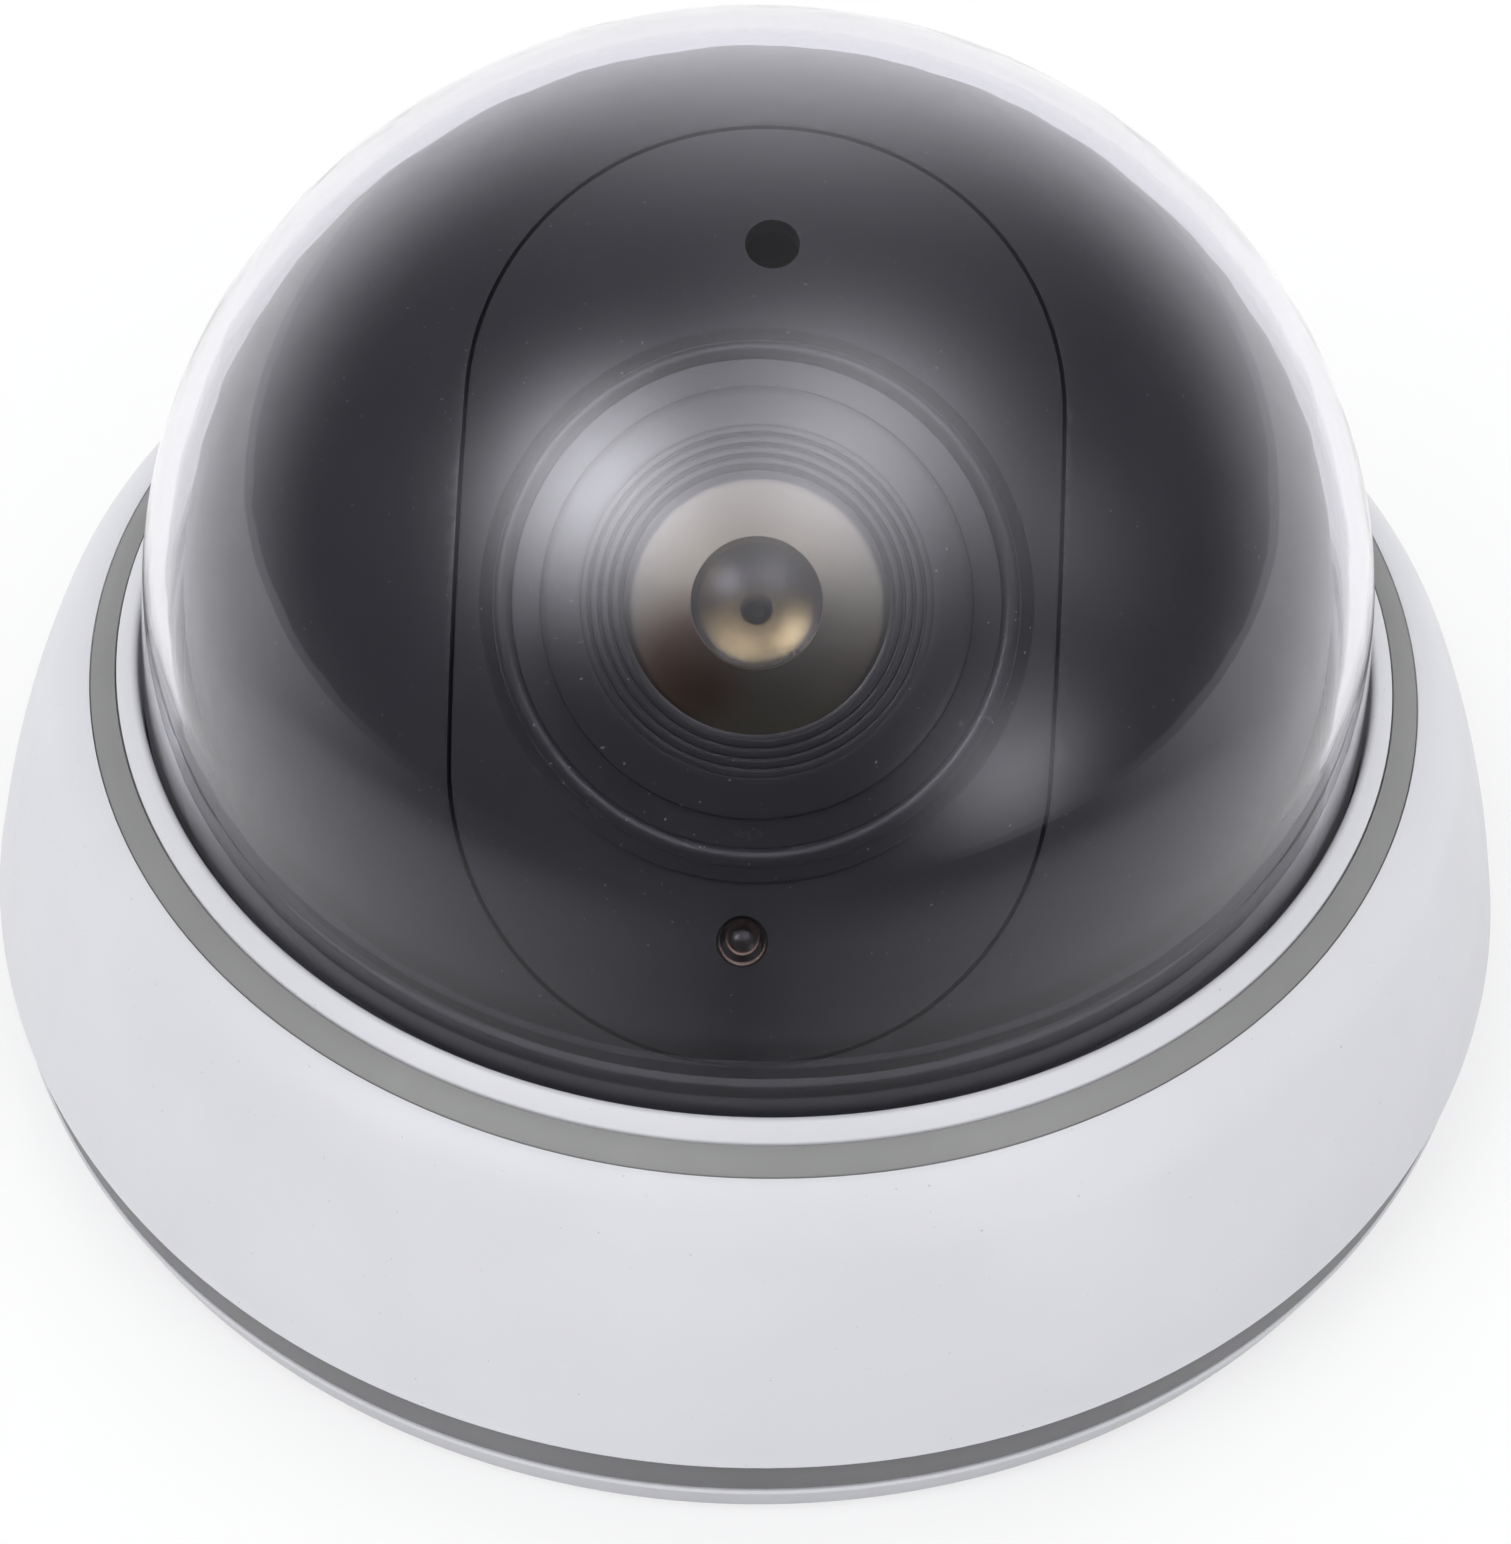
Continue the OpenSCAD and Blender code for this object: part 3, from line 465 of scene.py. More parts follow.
# %% Black finishes
shell_black = moulded("shell_black", (0.046, 0.046, 0.050), (0.038, 0.038, 0.042),
                      0.32, 4.0, 0.00004, specks=0.76, speck_colour=(0.16, 0.16, 0.16))
bezel_black = moulded("bezel_black", (0.034, 0.034, 0.037), (0.028, 0.028, 0.031),
                      0.25, 4.0, 0.0001, specks=0.76, speck_colour=(0.20, 0.20, 0.20))
print(shell_black.name, bezel_black.name)

# %% [markdown]
# ## Housing
# The flared white shell is one turned section: skirt, long flare, rounded shoulder, sloping
# top with a groove for the grey ring, and the lip round the dome. A lathe fits it exactly.
# Three tabs lock it on the base plate, and three bosses take the cover screws.

# %% Section of the housing
SKIRT_R, SKIRT_IN, SKIRT_Z = 57.9, 56.2, 4.0
RING_IN, RING_OUT, GROOVE = 48.2, 50.3, 0.9 / cosd(TOP_SLOPE)
FOOT_EDGE = 0.25
FINE_STEPS = 224
inner_foot = math.degrees(math.asin((FOOT_Z - flare_c[1]) / (FLARE_R - SHELL_WALL)))
ceiling_z = LIP_Z - SHELL_WALL / cosd(TOP_SLOPE)
ceiling_r = LIP_R + (ceiling_z - CLAMP_Z) / math.tan(math.radians(TOP_SLOPE))
outside = ([(SKIRT_IN, SKIRT_Z), (SKIRT_R, SKIRT_Z), (SKIRT_R, FOOT_Z)]
           + arc((FOOT_R - FOOT_EDGE, FOOT_Z + FOOT_EDGE), FOOT_EDGE, -90, 0, 3)
           + arc(flare_c, FLARE_R, FLARE_LEAN, SHOULDER_DEG, 26)[1:]
           + arc(shoulder_c, SHOULDER_R, SHOULDER_DEG, 90 - TOP_SLOPE, 18)[1:])
groove = [(RING_OUT, top_at(RING_OUT)), (RING_OUT, top_at(RING_OUT) - GROOVE),
          (RING_IN, top_at(RING_IN) - GROOVE), (RING_IN, top_at(RING_IN))]
lip = arc((LIP_R + LIP_EDGE, LIP_Z - LIP_EDGE), LIP_EDGE, 90 - TOP_SLOPE, 180, 8)
inside = ([(LIP_R, CLAMP_Z), (ceiling_r, CLAMP_Z)]
          + arc(flare_c, FLARE_R - SHELL_WALL, SHOULDER_DEG + 1.5, inner_foot + 2, 20)
          + [(SKIRT_IN, FOOT_Z + 1.6)])
shell = lathe("housing_shell", outside + groove + lip + inside, steps=FINE_STEPS)
print("housing section of", len(outside + groove + lip + inside), "points")

# %% Tabs and screw bosses
TAB_SECTION = ring(50.6, 57.0, 4.25, 6.45)
TAB_SPAN = 20
BOSS_AT, BOSS_R, BOSS_FOOT, BOSS_TOP = 52.4, 3.2, 12.8, 26.4
BORE_R, BORE_TOP = 1.27, 20.8
tabs = [turned(lathe("tab", TAB_SECTION, 12, TAB_SPAN), a - TAB_SPAN / 2) for a in (0, 120, 240)]
for tab in tabs:
    round_edges(tab, 0.2)
bored = [(BORE_R, BOSS_FOOT), (BOSS_R, BOSS_FOOT), (BOSS_R, BOSS_TOP), (0, BOSS_TOP),
         (0, BORE_TOP), (BORE_R, BORE_TOP)]
bosses = [lathe("boss", bored, 40, place=out_at(a, BOSS_AT)) for a in (60, 180, 300)]
# The bosses are trimmed to a core that stays inside the flared wall.
core = ([(49.0, 10), (57, 10)] + [(p[0] - 0.9, p[1] - 1.4) for p in outside[12:]]
        + [(49.0, 25.2)])
bosses = carve(join(bosses, "bosses"), lathe("core", core, steps=96), "INTERSECT")
round_edges(shell, 0.1, angle=50)
housing = carve(shell, join(tabs + [bosses], "inside_parts"), "UNION")
dress(housing, "camera_body", "white_shell", satin_white, "housing")

# %% [markdown]
# ## Trim rings
# Both are flat painted rings pushed into place. The upper one sits in the groove of the
# sloping top. The lower one closes the joint between the housing and the base plate.

# %% Trim rings
SINK, UNDER = 0.06, 0.03
band_in, band_out = RING_IN + 0.12, RING_OUT - 0.06
upper = [(band_in, top_at(band_in) - GROOVE + UNDER), (band_out, top_at(band_out) - GROOVE + UNDER),
         (band_out, top_at(band_out) - SINK), (band_in, top_at(band_in) - SINK)]
upper_ring = round_edges(lathe("upper_trim_band", upper, steps=FINE_STEPS), 0.12)
dress(upper_ring, "camera_body", "grey_trim", ring_paint, "upper_trim_ring")
lower = ring(57.95, 59.6, 3.85, 7.35)
lower_ring = round_edges(lathe("lower_trim_band", lower, steps=FINE_STEPS), 0.2)
# The lower ring's darker grey is painted shade.
dress(lower_ring, "camera_body", "grey_trim", shaded_ring_paint, "lower_trim_ring")

# %% [markdown]
# ## Base plate
# It is screwed to the wall first. Its rim shows as a thin white line under the lower ring.
# The collar's three lugs hold the housing's tabs, and each screw hole sinks into a pad.

# %% Base plate
PLATE_T = 2.4
COLLAR_IN, COLLAR_OUT, COLLAR_TOP = 48.2, 50.0, 8.9
rim = ([(58.5, 0), (58.8, 0.3), (59.7, 3.4)] + arc((59.4, 3.3), 0.3, 0, 90, 3)[1:]
       + [(58.0, 3.6), (58.0, PLATE_T)])
collar = [(COLLAR_OUT, PLATE_T), (COLLAR_OUT, COLLAR_TOP), (COLLAR_IN, COLLAR_TOP),
          (COLLAR_IN, PLATE_T)]
plate = lathe("base_mount", [(0, 0)] + rim + collar + [(0, PLATE_T)], steps=FINE_STEPS)
print("base plate of", len(plate.data.polygons), "faces, before its lugs and holes")

# %% Lugs, stops and screw holes
LUG_SECTION, LUG_SPAN = ring(49.5, 52.6, 6.7, COLLAR_TOP), 24
STOP_SECTION, STOP_SPAN, STOP_START = ring(49.2, 52.2, PLATE_T - 0.1, 7.0), 1.4, 11.9
PAD_SECTION = ring(0, 5.4, PLATE_T - 0.1, 4.0)
SCREW_AT, SCREW_R, HEAD_R = 42, 2.1, 4.2
extras = []
for a in (0, 120, 240):
    extras.append(turned(lathe("lug", LUG_SECTION, 14, LUG_SPAN), a - LUG_SPAN / 2))
    extras.append(turned(lathe("stop", STOP_SECTION, 2, STOP_SPAN), a - STOP_START))
for a in (90, 210, 330):
    extras.append(lathe("pad", PAD_SECTION, 48, place=out_at(a, SCREW_AT)))
for extra in extras:
    carve(plate, extra, "UNION")
hole = [(0, -1), (SCREW_R, -1), (SCREW_R, PLATE_T), (HEAD_R, PLATE_T), (HEAD_R, 5), (0, 5)]
for a in (90, 210, 330):
    carve(plate, lathe("hole", hole, 48, place=out_at(a, SCREW_AT)))
dress(plate, "base", "white_shell", satin_white, "base_plate")

# %% [markdown]
# ## Clear dome
# A moulded shell: a little flatter than a half sphere, with a skirt that spreads slightly as
# it goes down behind the lip, and a flange that the housing clamps.

# %% Clear dome
SKIRT_FILLET = 0.6
outer = dome_line(0, CLAMP_Z, 26, 40, DRAFT)
inner = dome_line(DOME_WALL, DOME_FLANGE_Z, 26, 40, DRAFT)
fillet = arc((outer[0][0] + SKIRT_FILLET, CLAMP_Z + SKIRT_FILLET), SKIRT_FILLET, 270, 180, 5)
dome = lathe("dome_cover", [(FLANGE_R, DOME_FLANGE_Z), (FLANGE_R, CLAMP_Z)] + fillet + outer[1:]
             + inner[::-1], steps=200)
dress(dome, "camera_body", "clear_shell", dome_plastic, "clear_dome")

# %% [markdown]
# ## Inner shell
# The black inner shell follows the dome. The lens module fills an obround opening in it,
# with a fine open seam all round. One obround prism cuts both: the opening is the prism
# grown by the seam, and the module is what the prism keeps of the same turned shape.


# %% Obround prism
HALF_W, UP, DOWN, SEAM = 18.8, 31.9, 29.2, 0.30
PRISM_TOP = 20
HAIR = 1e-7


def obround(grow):
    """Prism along the lens, whose ends are half circles."""
    pick_nothing()
    bpy.ops.mesh.primitive_circle_add(vertices=192, radius=(HALF_W + grow) * MM, fill_type="NGON")
    tool = bpy.context.object
    for upper_half, shift in ((True, UP - HALF_W), (False, HALF_W - DOWN)):
        pick(tool)
        bpy.ops.object.mode_set(mode="EDIT")
        bpy.ops.mesh.select_all(action="DESELECT")
        bpy.ops.object.mode_set(mode="OBJECT")
        for v in tool.data.vertices:
            v.select = (v.co.y > -HAIR) == upper_half
        bpy.ops.object.mode_set(mode="EDIT")
        bpy.ops.mesh.select_mode(type="VERT")
        bpy.ops.transform.translate(value=(0, shift * MM, 0))
        if upper_half:
            bpy.ops.object.mode_set(mode="OBJECT")
    bpy.ops.mesh.select_all(action="SELECT")
    bpy.ops.transform.translate(value=(0, 0, -LINER_R * MM))
    height = {"value": (0, 0, (LINER_R + PRISM_TOP) * MM)}
    bpy.ops.mesh.extrude_region_move(TRANSFORM_OT_translate=height)
    bpy.ops.mesh.select_all(action="SELECT")
    bpy.ops.mesh.normals_make_consistent(inside=False)
    bpy.ops.object.mode_set(mode="OBJECT")
    tool.matrix_world = IN_MODULE
    settle(tool)
    return tool


print("prism %.1f mm wide and %.1f mm long" % (2 * HALF_W, UP + DOWN))

# %% Inner shell
liner_out = dome_line(LINER_GAP, DOME_FLANGE_Z)
liner_in = dome_line(LINER_GAP + LINER_WALL, LINER_FLANGE_Z)
liner = lathe("inner_shell", [(FLANGE_R, LINER_FLANGE_Z), (FLANGE_R, DOME_FLANGE_Z)] + liner_out
              + liner_in[::-1], steps=FINE_STEPS)
round_edges(carve(liner, obround(SEAM)), 0.12, angle=50)
dress(liner, "camera_body", "black_shell", shell_black, "inner_liner")

# %% [markdown]
# ## Lens module
# The module is a thicker patch of the same dome shape, with a flange that laps behind the
# inner shell. It is drilled for the bezel, the sensor and the lamp. Two posts behind it
# carry the lamp's board. Places in it are given from the lens: sideways, up and outwards.

# %% Lens module's shell
MODULE_WALL, MODULE_LAP = 2.85, 2.2
MODULE_FLOOR = DOME_FLANGE_Z - 0.4
SENSOR_UP, SENSOR_R = 23.1, 1.75
LAMP_UP, LAMP_HOLE_R = -21.1, 1.65
SEAT, SEAT_R, SEAT_IN = -4.3, 16.4, 14.9
POST_X, POST_Y, POST_END = 4.8, -15.0, -12.6


def in_module(x, y):
    """Place on the module, x sideways and y up from the lens."""
    return IN_MODULE @ Matrix.Translation((x * MM, y * MM, 0))


def shell_piece(name, out_gap, grow):
    """Piece of the module's curved wall, cut out by the prism."""
    face_in = dome_line(LINER_GAP + MODULE_WALL, MODULE_FLOOR)
    section = dome_line(out_gap, MODULE_FLOOR) + face_in[::-1]
    return carve(lathe(name, section, steps=FINE_STEPS), obround(grow), "INTERSECT")


module = shell_piece("lens_module", LINER_GAP, 0)
print("module of", len(module.data.polygons), "faces, before its holes")

# %% Posts and holes of the module
posts, drills = [], []
for x in (-POST_X, POST_X):
    posts.append(lathe("post", ring(0, 1.8, POST_END, -4.4), 32, place=in_module(x, POST_Y)))
    drills.append(lathe("drill", ring(0, 0.82, -14, -8.6), 24, place=in_module(x, POST_Y)))
bezel_seat = [(0, -30), (SEAT_IN, -30), (SEAT_IN, SEAT), (SEAT_R, SEAT), (SEAT_R, 5), (0, 5)]
for up, section in ((0, bezel_seat), (SENSOR_UP, ring(0, SENSOR_R, -30, 5)),
                    (LAMP_UP, ring(0, LAMP_HOLE_R, -30, 5))):
    drills.append(lathe("drill", section, 128, place=in_module(0, up)))
flange = shell_piece("flange", LINER_GAP + LINER_WALL + 0.05, MODULE_LAP)
carve(module, join([flange] + posts, "posts"), "UNION")
round_edges(carve(module, join(drills, "drills")), 0.10, angle=50)
dress(module, "camera_body", "black_shell", shell_black, "camera_module")

# %% [markdown]
# ## Bezel
# The bezel carries on the module's curve: a soft flank, a raised bead, a trough, a flat
# ledge, a smooth cone, and fine turned ridges that step down to the lens. It is lathed about
# the lens axis, and each height is measured from the module's curve at that radius.

# %% Lines of the bezel
BEZEL_R, BEZEL_IN = 16.37, 14.75
BEAD_R, BEAD_W, BEAD_H = 15.85, 0.62, 0.46
RIDGES_R, RIDGE_STEP, RIDGE_DROP = 10.95, 0.64, 0.15
LENS_FRONT, LENS_EDGE = -1.90, 8.34


def off_face(*points):
    """Points of (radius, height above the module's curve)."""
    return [(r, face_at(r) + up) for r, up in points]


flank = off_face((BEZEL_R, 0.02), (17.35, -0.02), (17.3, 0.03), (17.0, 0.08), (16.7, 0.20))
bead = [(BEAD_R + BEAD_W * cosd(a), face_at(16.1) + 0.02 + BEAD_H * sind(a))
        for a in range(12, 163, 10)]
ledge = [(15.2, face_at(15.3) - 0.06), (14.2, face_at(15.3) + 0.12)]
ledge += [(13.5, face_at(13.5) - 0.26), (13.42, face_at(13.4) - 0.04)] + off_face((13.36, 0.03))
cone = off_face(*[(r, 0.05) for r in (13.3, 12.9, 12.4, 11.9, 11.4, 11.05)])
ridges = []
ridge_r, ridge_z = RIDGES_R, face_at(RIDGES_R) + 0.07
for i in range(4):
    rise = 0.44 * ridge_r / LINER_R
    for back, up in ((0, -0.05), (0.06, 0), (0.38, rise * 0.8), (0.44, rise * 0.7),
                     (0.50, -0.28), (0.60, -0.32)):
        ridges.append((ridge_r - back, ridge_z + up))
    ridge_r, ridge_z = ridge_r - RIDGE_STEP, ridge_z - RIDGE_DROP
print("ridges from radius", RIDGES_R, "to", ridges[-3][0])

# %% Bezel
lens_lip = [(8.45, LENS_FRONT + 0.12), (8.25, LENS_FRONT + 0.05), (8.25, LENS_FRONT + 0.01),
            (8.42, LENS_FRONT + 0.01)]
barrel = [(8.42, -3.9), (7.4, -3.9), (7.4, -11), (9.0, -11), (9.0, -5.7), (BEZEL_IN, -5.7)]
bezel = lathe("bezel", [(BEZEL_IN, SEAT), (BEZEL_R, SEAT)] + flank + bead + ledge + cone
              + ridges[:-2] + lens_lip + barrel, steps=256, place=IN_MODULE)
dress(bezel, "camera_body", "black_bezel", bezel_black, "lens_bezel")

# %% [markdown]
# ## Lens
# The lens is one clear moulding: a flat disc with a raised eye, which is a cap of a ball.
# Its back slopes towards the rim, so that the reflector behind it is a shallow cone.

# %% Lens
EYE_R, EYE_H, EYE_STEPS = 4.1, 1.2, 16
BACK_EDGE, BACK_MID, BACK_FLAT_R = -3.62, -2.94, 4.14
ball = (EYE_R ** 2 + EYE_H ** 2) / (2 * EYE_H)
eye_deg = math.degrees(math.asin(EYE_R / ball))
eye = [(ball * sind(a), LENS_FRONT + EYE_H - ball + ball * cosd(a))
       for a in [eye_deg * (EYE_STEPS - i) / EYE_STEPS for i in range(EYE_STEPS + 1)]]
disc = [(0, BACK_MID), (BACK_FLAT_R, BACK_MID), (LENS_EDGE, BACK_EDGE),
        (LENS_EDGE, LENS_FRONT - 0.2), (8.27, LENS_FRONT - 0.06), (8.12, LENS_FRONT),
        (EYE_R + 0.05, LENS_FRONT)]
lens = lathe("lens_disc", disc + eye, steps=160, place=IN_MODULE)
dress(lens, "camera_body", "lens_clear", lens_plastic, "lens")

# %% [markdown]
# ## Metal finishes
# Metallised plastic and plated wire reflect, so their colour is the colour of the metal, kept
# darker than real brass because the studio is bright. Stains and a wandering gloss keep a mirror
# from looking computed. On the reflector a brown patch low on one side is painted shade, which
# darkens what the lens shows there.


# %% Bright metal
# Counts per millimetre of the stains, the gloss and the scratches.
STAINS, SHEEN, SCRATCHES = 0.14, 0.3, 1.6


def bright_metal(name, colour, stain, rough, grain, painted_shade=None):
    """Metal with stains that drift over it, wandering gloss and fine scratches.

    The last argument, (place in the module in mm, reach in mm, colour), paints shade of that colour
    round that place.
    """
    mat, tree, shader = new_finish(name)
    shader.inputs["Metallic"].default_value = 1.0
    stains = ramp(tree, noise(tree, STAINS, 2), 0, 1, 0.36, 0.64)
    tint = blend_colours(tree, stains, colour, stain)
    if painted_shade:
        # Painted shade: the metal turns to the given brown close to the given place.
        place, reach, shade_brown = painted_shade
        where = add(tree, "ShaderNodeTexCoord")
        off = add(tree, "ShaderNodeVectorMath", operation="DISTANCE")
        off.inputs[1].default_value = IN_MODULE @ (Vector(place) * MM)
        tree.links.new(where.outputs["Object"], off.inputs[0])
        shade_mask = ramp(tree, off.outputs["Value"], 1, 0, reach * 0.25 * MM, reach * MM)
        tint = blend_colours(tree, shade_mask, tint, shade_brown)
    tree.links.new(tint, shader.inputs["Base Color"])
    sheen = ramp(tree, noise(tree, SHEEN, 2), rough * 0.94, rough * 1.06, 0.2, 0.8)
    tree.links.new(sheen, shader.inputs["Roughness"])
    bump(tree, shader, (noise(tree, SCRATCHES, 3), grain))
    return mat


# Painted shade: a brown patch at the reflector's lower left darkens what the lens shows there.
reflector_painted_shade = ((-3.9, -3.9, -3.4), 5.4, (0.110, 0.055, 0.025))
silver_beige = bright_metal("silver_beige", (0.180, 0.166, 0.130), (0.160, 0.144, 0.110),
                            0.30, 0.0001, painted_shade=reflector_painted_shade)
brass_gold = bright_metal("brass_gold", (0.27, 0.22, 0.125), (0.20, 0.155, 0.085), 0.20, 0.0001)
tinned = bright_metal("tinned", (0.70, 0.68, 0.66), (0.55, 0.52, 0.50), 0.30, 0.002)
lamp_frame = bright_metal("lamp_frame", (0.52, 0.45, 0.40), (0.32, 0.26, 0.22), 0.16, 0.001)
print(silver_beige.name, brass_gold.name, tinned.name, lamp_frame.name)

# %% [markdown]
# ## Reflector and cap
# Behind the disc lies a pale cone, and behind the eye a small brass-coloured dish with a dark
# hole in its middle: it makes the golden crescent that one sees in the eye. The cap closes
# the barrel from behind. All three are lathed about the lens axis.

# %% Reflector, dish and lens cap
BACK_PLAY, CONE_BACK = 0.05, -3.89
DISH_R, DISH_FRONT, DISH_BACK = 7.35, -3.95, -8.95
BOWL_IN, BOWL_W, BOWL_DEPTH = 0.75, 3.35, 2.2
cone_section = [(LENS_EDGE, CONE_BACK), (LENS_EDGE, BACK_EDGE - BACK_PLAY),
                (BACK_FLAT_R, BACK_MID - BACK_PLAY), (BACK_FLAT_R, CONE_BACK)]
mirror = lathe("reflector_cone", cone_section, steps=160, place=IN_MODULE)
dress(mirror, "camera_body", "brass_cup", silver_beige, "lens_reflector")
bowl = [(BOWL_IN + BOWL_W * sind(a), DISH_FRONT - BOWL_DEPTH * cosd(a)) for a in range(0, 91, 6)]
dish_section = [(DISH_R, DISH_FRONT), (DISH_R, DISH_BACK), (0.4, DISH_BACK), (0.4, -6.6),
                (0.62, -6.25)]
dish = lathe("reflector_dish", dish_section + bowl, steps=128, place=IN_MODULE)
dress(dish, "camera_body", "brass_cup", brass_gold, "lens_reflector")
cap_section = [(0, -9.05), (DISH_R, -9.05), (DISH_R, -11), (9.0, -11), (9.0, -12.2), (0, -12.2)]
cap = round_edges(lathe("barrel_cap", cap_section, steps=96, place=IN_MODULE), 0.15)
dress(cap, "camera_body", "black_shell", shell_black, "lens_cap")

# %% [markdown]
# ## Indicator lamp
# A 3 mm lamp is a bullet of tinted resin cast round a lead frame. The frame is what one
# sees inside it: a stem that ends in a tiny bright cup with a dark die, and a post beside it.
# All are modelled, because the resin is clear and works as a magnifier.

# %% Lamp's resin
TIP, LAMP_R, LAMP_LEN = -5.408, 1.5, 5.3
BRIM_R, BRIM_H = 1.9, 1.0
brim_top = TIP - LAMP_LEN + BRIM_H
resin = ([(0, TIP - LAMP_LEN), (BRIM_R, TIP - LAMP_LEN), (BRIM_R, brim_top),
          (LAMP_R, brim_top)] + arc((0, TIP - LAMP_R), LAMP_R, 0, 90, 14))
bullet = lathe("lamp_bullet", resin, steps=64, place=in_module(0, LAMP_UP))
dress(bullet, "camera_body", "lamp_resin", lamp_plastic, "led")

# %% Lamp's stem, post and die
STEM_R, POST_R, POST_SIDE = 0.25, 0.14, 1.1
cup = [(0.76, TIP - 3.0), (0.78, TIP - 2.35), (0.62, TIP - 2.3), (0.38, TIP - 2.7), (0, TIP - 2.7)]
stem_section = [(0, POST_END), (STEM_R, POST_END), (STEM_R, TIP - 3.6)] + cup
stem = lathe("lamp_stem", stem_section, steps=40, place=in_module(0, LAMP_UP))
post = lathe("lamp_post", ring(0, POST_R, POST_END, TIP - 2.4), steps=16,
             place=in_module(POST_SIDE, LAMP_UP))
die_section = [(0, TIP - 2.72), (0.33, TIP - 2.72), (0.31, TIP - 2.5), (0, TIP - 2.5)]
die = lathe("lamp_die", die_section, steps=24, place=in_module(0, LAMP_UP))
dress(die, "camera_body", "lamp_resin", bezel_black, "led")
frame_pair = join([stem, post], "lamp_leads")
dress(frame_pair, "camera_body", "contact_metal", lamp_frame, "led")

# %% [markdown]
# ## Pieces that keep their CAD shape
# Small flat parts are already right as solids, but their edges are knife sharp. A copy of
# each is merged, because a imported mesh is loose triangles, and gets a small bevel that
# catches the light. Each then takes the finish of its real material.

# %% Finishes of the small parts
switch_black = moulded("switch_black", (0.020, 0.020, 0.021), (0.015, 0.015, 0.016),
                       0.42, 2.5, 0.001)
board_green = moulded("board_green", (0.020, 0.115, 0.045), (0.030, 0.150, 0.060),
                      0.35, 3.0, 0.004)
chip_black = moulded("chip_black", (0.012, 0.012, 0.012), (0.020, 0.020, 0.020),
                     0.22, 0.8, 0.02)
resistor_beige = moulded("resistor_beige", (0.55, 0.42, 0.26), (0.46, 0.34, 0.20),
                         0.40, 2.0, 0.004)
red_cover = moulded("red_cover", (0.55, 0.02, 0.015), (0.45, 0.015, 0.012),
                    0.38, 2.5, 0.002)
black_cover = moulded("black_cover", (0.018, 0.018, 0.018), (0.025, 0.025, 0.025),
                      0.38, 2.5, 0.002)
sleeve = moulded("sleeve", (0.035, 0.085, 0.20), (0.030, 0.070, 0.17), 0.24, 1.2, 0.002)
spring_steel = bright_metal("spring_steel", (0.66, 0.65, 0.62), (0.48, 0.45, 0.41), 0.28, 0.002)
screw_zinc = bright_metal("screw_zinc", (0.62, 0.63, 0.65), (0.45, 0.44, 0.44), 0.33, 0.004)
print("small finishes ready")


# %% Softening a CAD node
def softened(node, name, slot, finish, edge, body="camera_body"):
    """Dresses a merged copy of a CAD node, with its edges bevelled by edge millimetres."""
    pick_nothing()
    copy = bpy.data.objects[node].copy()
    copy.data = bpy.data.objects[node].data.copy()
    copy.name = copy.data.name = name
    copy.hide_render = copy.hide_viewport = False
    bpy.context.scene.collection.objects.link(copy)
    tidy_mesh(copy)
    pick(copy)
    bpy.ops.object.mode_set(mode="EDIT")
    bpy.ops.mesh.select_all(action="SELECT")
    bpy.ops.mesh.dissolve_limited(angle_limit=math.radians(0.5))
    bpy.ops.object.mode_set(mode="OBJECT")
    if edge:
        round_edges(copy, edge, angle=40)
    return dress(copy, body, slot, finish, node, angle=35)


# %% Softened copies
softened("back_cover", "rear_cover", "white_shell", satin_white, 0.15)
softened("battery_door", "battery_lid", "white_shell", satin_white, 0.15, "door")
softened("switch_body", "switch_case", "switch_plastic", switch_black, 0.12)
softened("switch_knob", "switch_slider", "switch_plastic", switch_black, 0.12, "knob")
softened("led_board", "flasher_board", "circuit_board", board_green, 0.05)
softened("flasher_chip", "chip_blob", "chip_resin", chip_black, 0)
softened("led_resistor", "resistor", "resistor_body", resistor_beige, 0.1)
softened("board_screws", "board_screw_pair", "screw_steel", screw_zinc, 0.06)
softened("cover_screws", "cover_screw_trio", "screw_steel", screw_zinc, 0.08)
softened("battery_contacts", "contact_strips", "contact_metal", tinned, 0.04)
softened("battery_springs", "coil_springs", "contact_metal", spring_steel, 0)
softened("battery_cell_1", "cell_one", "cell_sleeve", sleeve, 0.25)
softened("battery_cell_2", "cell_two", "cell_sleeve", sleeve, 0.25)
softened("red_wire", "wire_in_red", "wire_red", red_cover, 0)
softened("switch_wire", "wire_from_switch", "wire_red", red_cover, 0)
softened("black_wire", "wire_in_black", "wire_black", black_cover, 0)

# %% [markdown]
# ## Floor
# A white sweep. The camera sees it as bright paper that still takes the object's shadow. The
# gloss of the dome sees only its glow, which is strongest behind the object and fades with
# distance, as in a studio with a lit background. From below it is clear, so that the base
# can be looked at.


# %% Helpers for sums of nodes
def math_node(tree, operation, *values):
    """A sum, product or the like of sockets and constants."""
    node = add(tree, "ShaderNodeMath", operation=operation)
    for socket, value in zip(node.inputs, values):
        feed(tree, socket, value)
    return node.outputs[0]


def vector_node(tree, operation, *values):
    """The same for vectors. Its result is a number for LENGTH and DOT_PRODUCT."""
    node = add(tree, "ShaderNodeVectorMath", operation=operation)
    for socket, value in zip(node.inputs, values):
        feed(tree, socket, value)
    return node.outputs["Vector" if operation == "NORMALIZE" else "Value"]


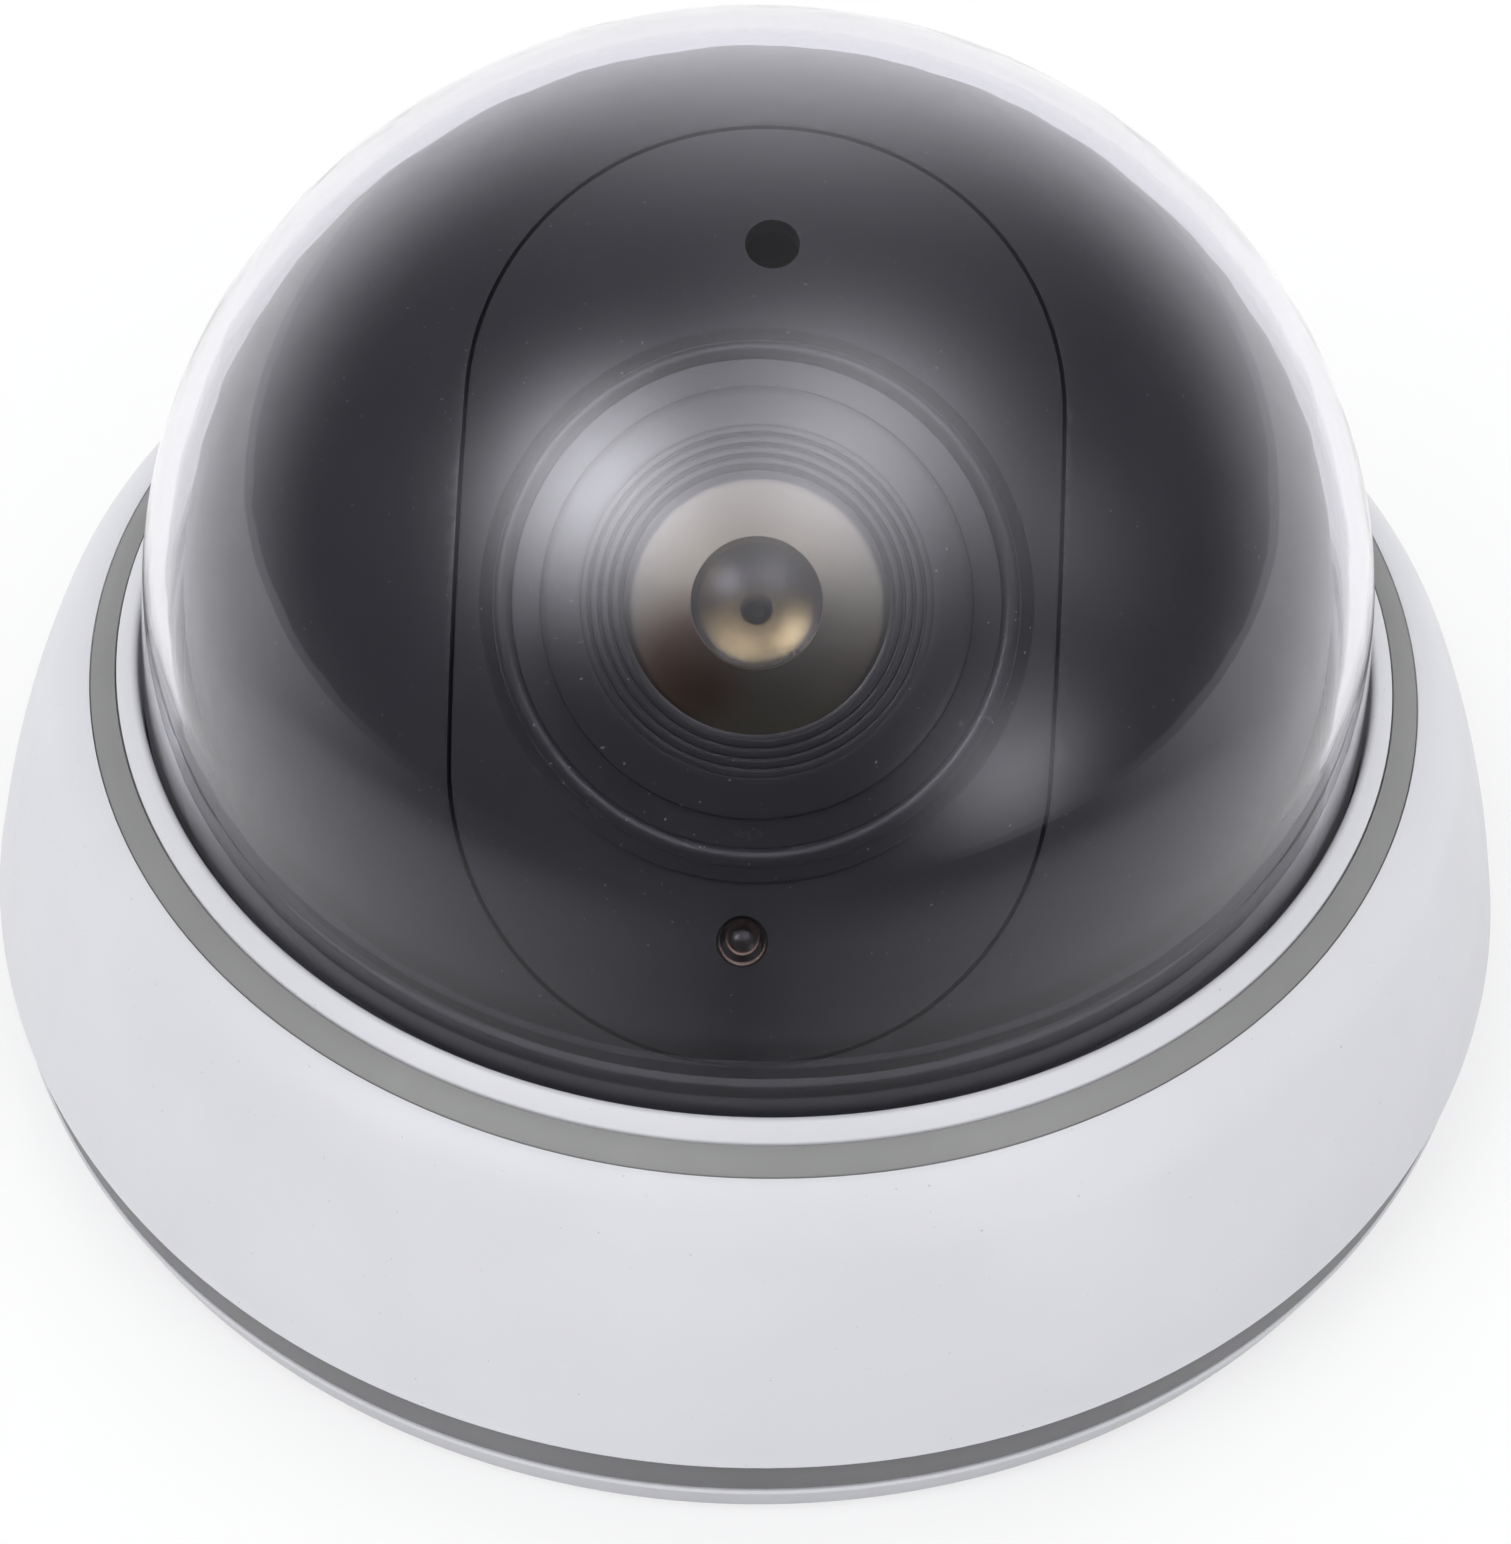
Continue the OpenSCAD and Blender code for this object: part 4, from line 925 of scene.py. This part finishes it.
# %% Floor plane
FLOOR_SIZE, FLOOR_GAP = 6.0, 0.02
pick_nothing()
bpy.ops.mesh.primitive_plane_add(size=FLOOR_SIZE, location=(0, 0, -FLOOR_GAP * MM))
floor = bpy.context.object
floor.name = "floor"
mat, tree, shader = new_finish("floor_paper")
shader.inputs["Base Color"].default_value = (0.86, 0.86, 0.86, 1)
shader.inputs["Roughness"].default_value = 0.9
rays = add(tree, "ShaderNodeLightPath").outputs
seen = math_node(tree, "MAXIMUM", rays["Is Camera Ray"], rays["Is Glossy Ray"])
seen = math_node(tree, "MAXIMUM", seen, rays["Is Transmission Ray"])
spot = add(tree, "ShaderNodeTexCoord").outputs["Object"]
far = vector_node(tree, "LENGTH", spot)
ahead = vector_node(tree, "DOT_PRODUCT", vector_node(tree, "NORMALIZE", spot), (0, -1, 0))
print("floor", FLOOR_SIZE, "m wide")

# %% [markdown]
# ## Glow of the floor
# Three things make the glow that gloss sees: it grows from the front of the object to its
# back, it fades with distance except at the flanks and behind, and a faint glare lies close
# round the foot. ahead is 1 straight in front of the object and -1 straight behind it.

# %% Glow
GLOW_SIDE, GLOW_CAP = 0.82, 1.0
round_glow = math_node(tree, "POWER", math_node(tree, "SUBTRACT", 1.0, ahead), 0.5)
flank_glow = math_node(tree, "MULTIPLY", round_glow, GLOW_SIDE)
fade = ramp(tree, far, 1.0, 0.12, 0.10, 0.55)
steady = ramp(tree, ahead, 1.0, 0.0, -0.1, 0.8)
kept = math_node(tree, "MAXIMUM", fade, steady)
dimmed = math_node(tree, "MULTIPLY", flank_glow, kept)
glare = ramp(tree, far, 0.10, 0.03, 0.13, 0.30)
gloss_glow = math_node(tree, "ADD", glare, math_node(tree, "MINIMUM", dimmed, GLOW_CAP))
# The paper's glow is dimmer close to the object: a painted shadow round its foot, on top of the
# real shadow that the paper takes.
paper_glow_and_painted_shadow = ramp(tree, far, 0.52, 0.76, 0.08, 0.50)
glow = add(tree, "ShaderNodeEmission")
strength = blend_numbers(tree, rays["Is Glossy Ray"], paper_glow_and_painted_shadow, gloss_glow)
tree.links.new(strength, glow.inputs["Strength"])
print("glow of the floor, at most", GLOW_CAP)

# %% Floor paper
paper = add(tree, "ShaderNodeBsdfDiffuse")
paper.inputs["Color"].default_value = (0.44, 0.44, 0.44, 1)
lit = add(tree, "ShaderNodeAddShader")
tree.links.new(glow.outputs[0], lit.inputs[0])
tree.links.new(paper.outputs[0], lit.inputs[1])
shown = blend_shaders(tree, rays["Is Glossy Ray"], lit.outputs[0], glow.outputs[0])
front = blend_shaders(tree, seen, shader.outputs[0], shown)
clear = add(tree, "ShaderNodeBsdfTransparent").outputs[0]
underside = add(tree, "ShaderNodeNewGeometry").outputs["Backfacing"]
one_sided = blend_shaders(tree, underside, front, clear)
tree.links.new(one_sided, tree.nodes["Material Output"].inputs["Surface"])
floor.data.materials.append(mat)
print("floor dressed with", mat.name)

# %% [markdown]
# ## Lamps
# Three large soft discs light the object from the front left, the front right and behind.
# Gloss doesn't see them: the highlights come from the pools of light in the surroundings,
# which can be placed one by one.


# %% Lamps
def lamp(name, place, size, power):
    """A round soft lamp that looks at the middle of the object."""
    light = bpy.data.lights.new(name, "AREA")
    light.shape = "DISK"
    light.size = size
    light.energy = power
    holder = bpy.data.objects.new(name, light)
    bpy.context.scene.collection.objects.link(holder)
    holder.location = place
    aim = Vector((0, 0, 0.03)) - Vector(place)
    holder.rotation_euler = aim.to_track_quat("-Z", "Y").to_euler()
    holder.visible_glossy = False
    holder.visible_transmission = False
    print(name, power, "W")


lamp("key_lamp", (-0.75, -0.48, 0.99), 0.7, 2.0)
lamp("fill_lamp", (0.45, -0.50, 1.10), 0.8, 2.1)
lamp("top_lamp", (0.0, 0.5, 1.2), 0.9, 2.2)

# %% [markdown]
# ## Surroundings
# The studio that reflections see: bright walls behind and beside the object, a dim room
# behind the camera, and soft pools where a photographer's lamps would be. The camera itself
# sees plain white, and diffuse light gets an even level.

# %% Walls
world = bpy.data.worlds.new("studio")
bpy.context.scene.world = world
world.use_nodes = True
tree = world.node_tree
sky = tree.nodes["Background"]
around = add(tree, "ShaderNodeTexCoord").outputs["Generated"]
WALLS_FROM, WALLS_TO = 98, 58
WALLS_AXIS = Vector((0, 0.5, -0.866)).normalized()
up_wall = vector_node(tree, "DOT_PRODUCT", around, WALLS_AXIS)
level = ramp(tree, up_wall, 0.03, 0.90, cosd(WALLS_FROM), cosd(WALLS_TO))


# %% Pools of light
def pool(azimuth, elevation, half_width, strength):
    """A soft pool: strength at its middle, half of that half_width degrees away."""
    towards = Vector((sind(azimuth) * cosd(elevation), -cosd(azimuth) * cosd(elevation),
                      sind(elevation))).normalized()
    falloff = math.log(2) / (1 - cosd(half_width))
    off_middle = math_node(tree, "SUBTRACT", vector_node(tree, "DOT_PRODUCT", around, towards), 1)
    shape = math_node(tree, "EXPONENT", math_node(tree, "MULTIPLY", off_middle, falloff))
    return math_node(tree, "MULTIPLY", shape, strength)


for one_pool in ((-61, 59, 13, 6.2), (52, 74, 17, 3.8), (46, 13, 11, 1.5), (80, 37, 11, 0.37),
                 (180, 30, 20, 0.8)):
    level = math_node(tree, "ADD", level, pool(*one_pool))
rays = add(tree, "ShaderNodeLightPath").outputs
level = blend_numbers(tree, rays["Is Diffuse Ray"], level, 0.75)
level = blend_numbers(tree, rays["Is Camera Ray"], level, 1.0)
tree.links.new(level, sky.inputs["Strength"])
sky.inputs["Color"].default_value = (0.985, 0.99, 1.0, 1)
bpy.context.scene.view_settings.view_transform = "Standard"
print("studio ready")
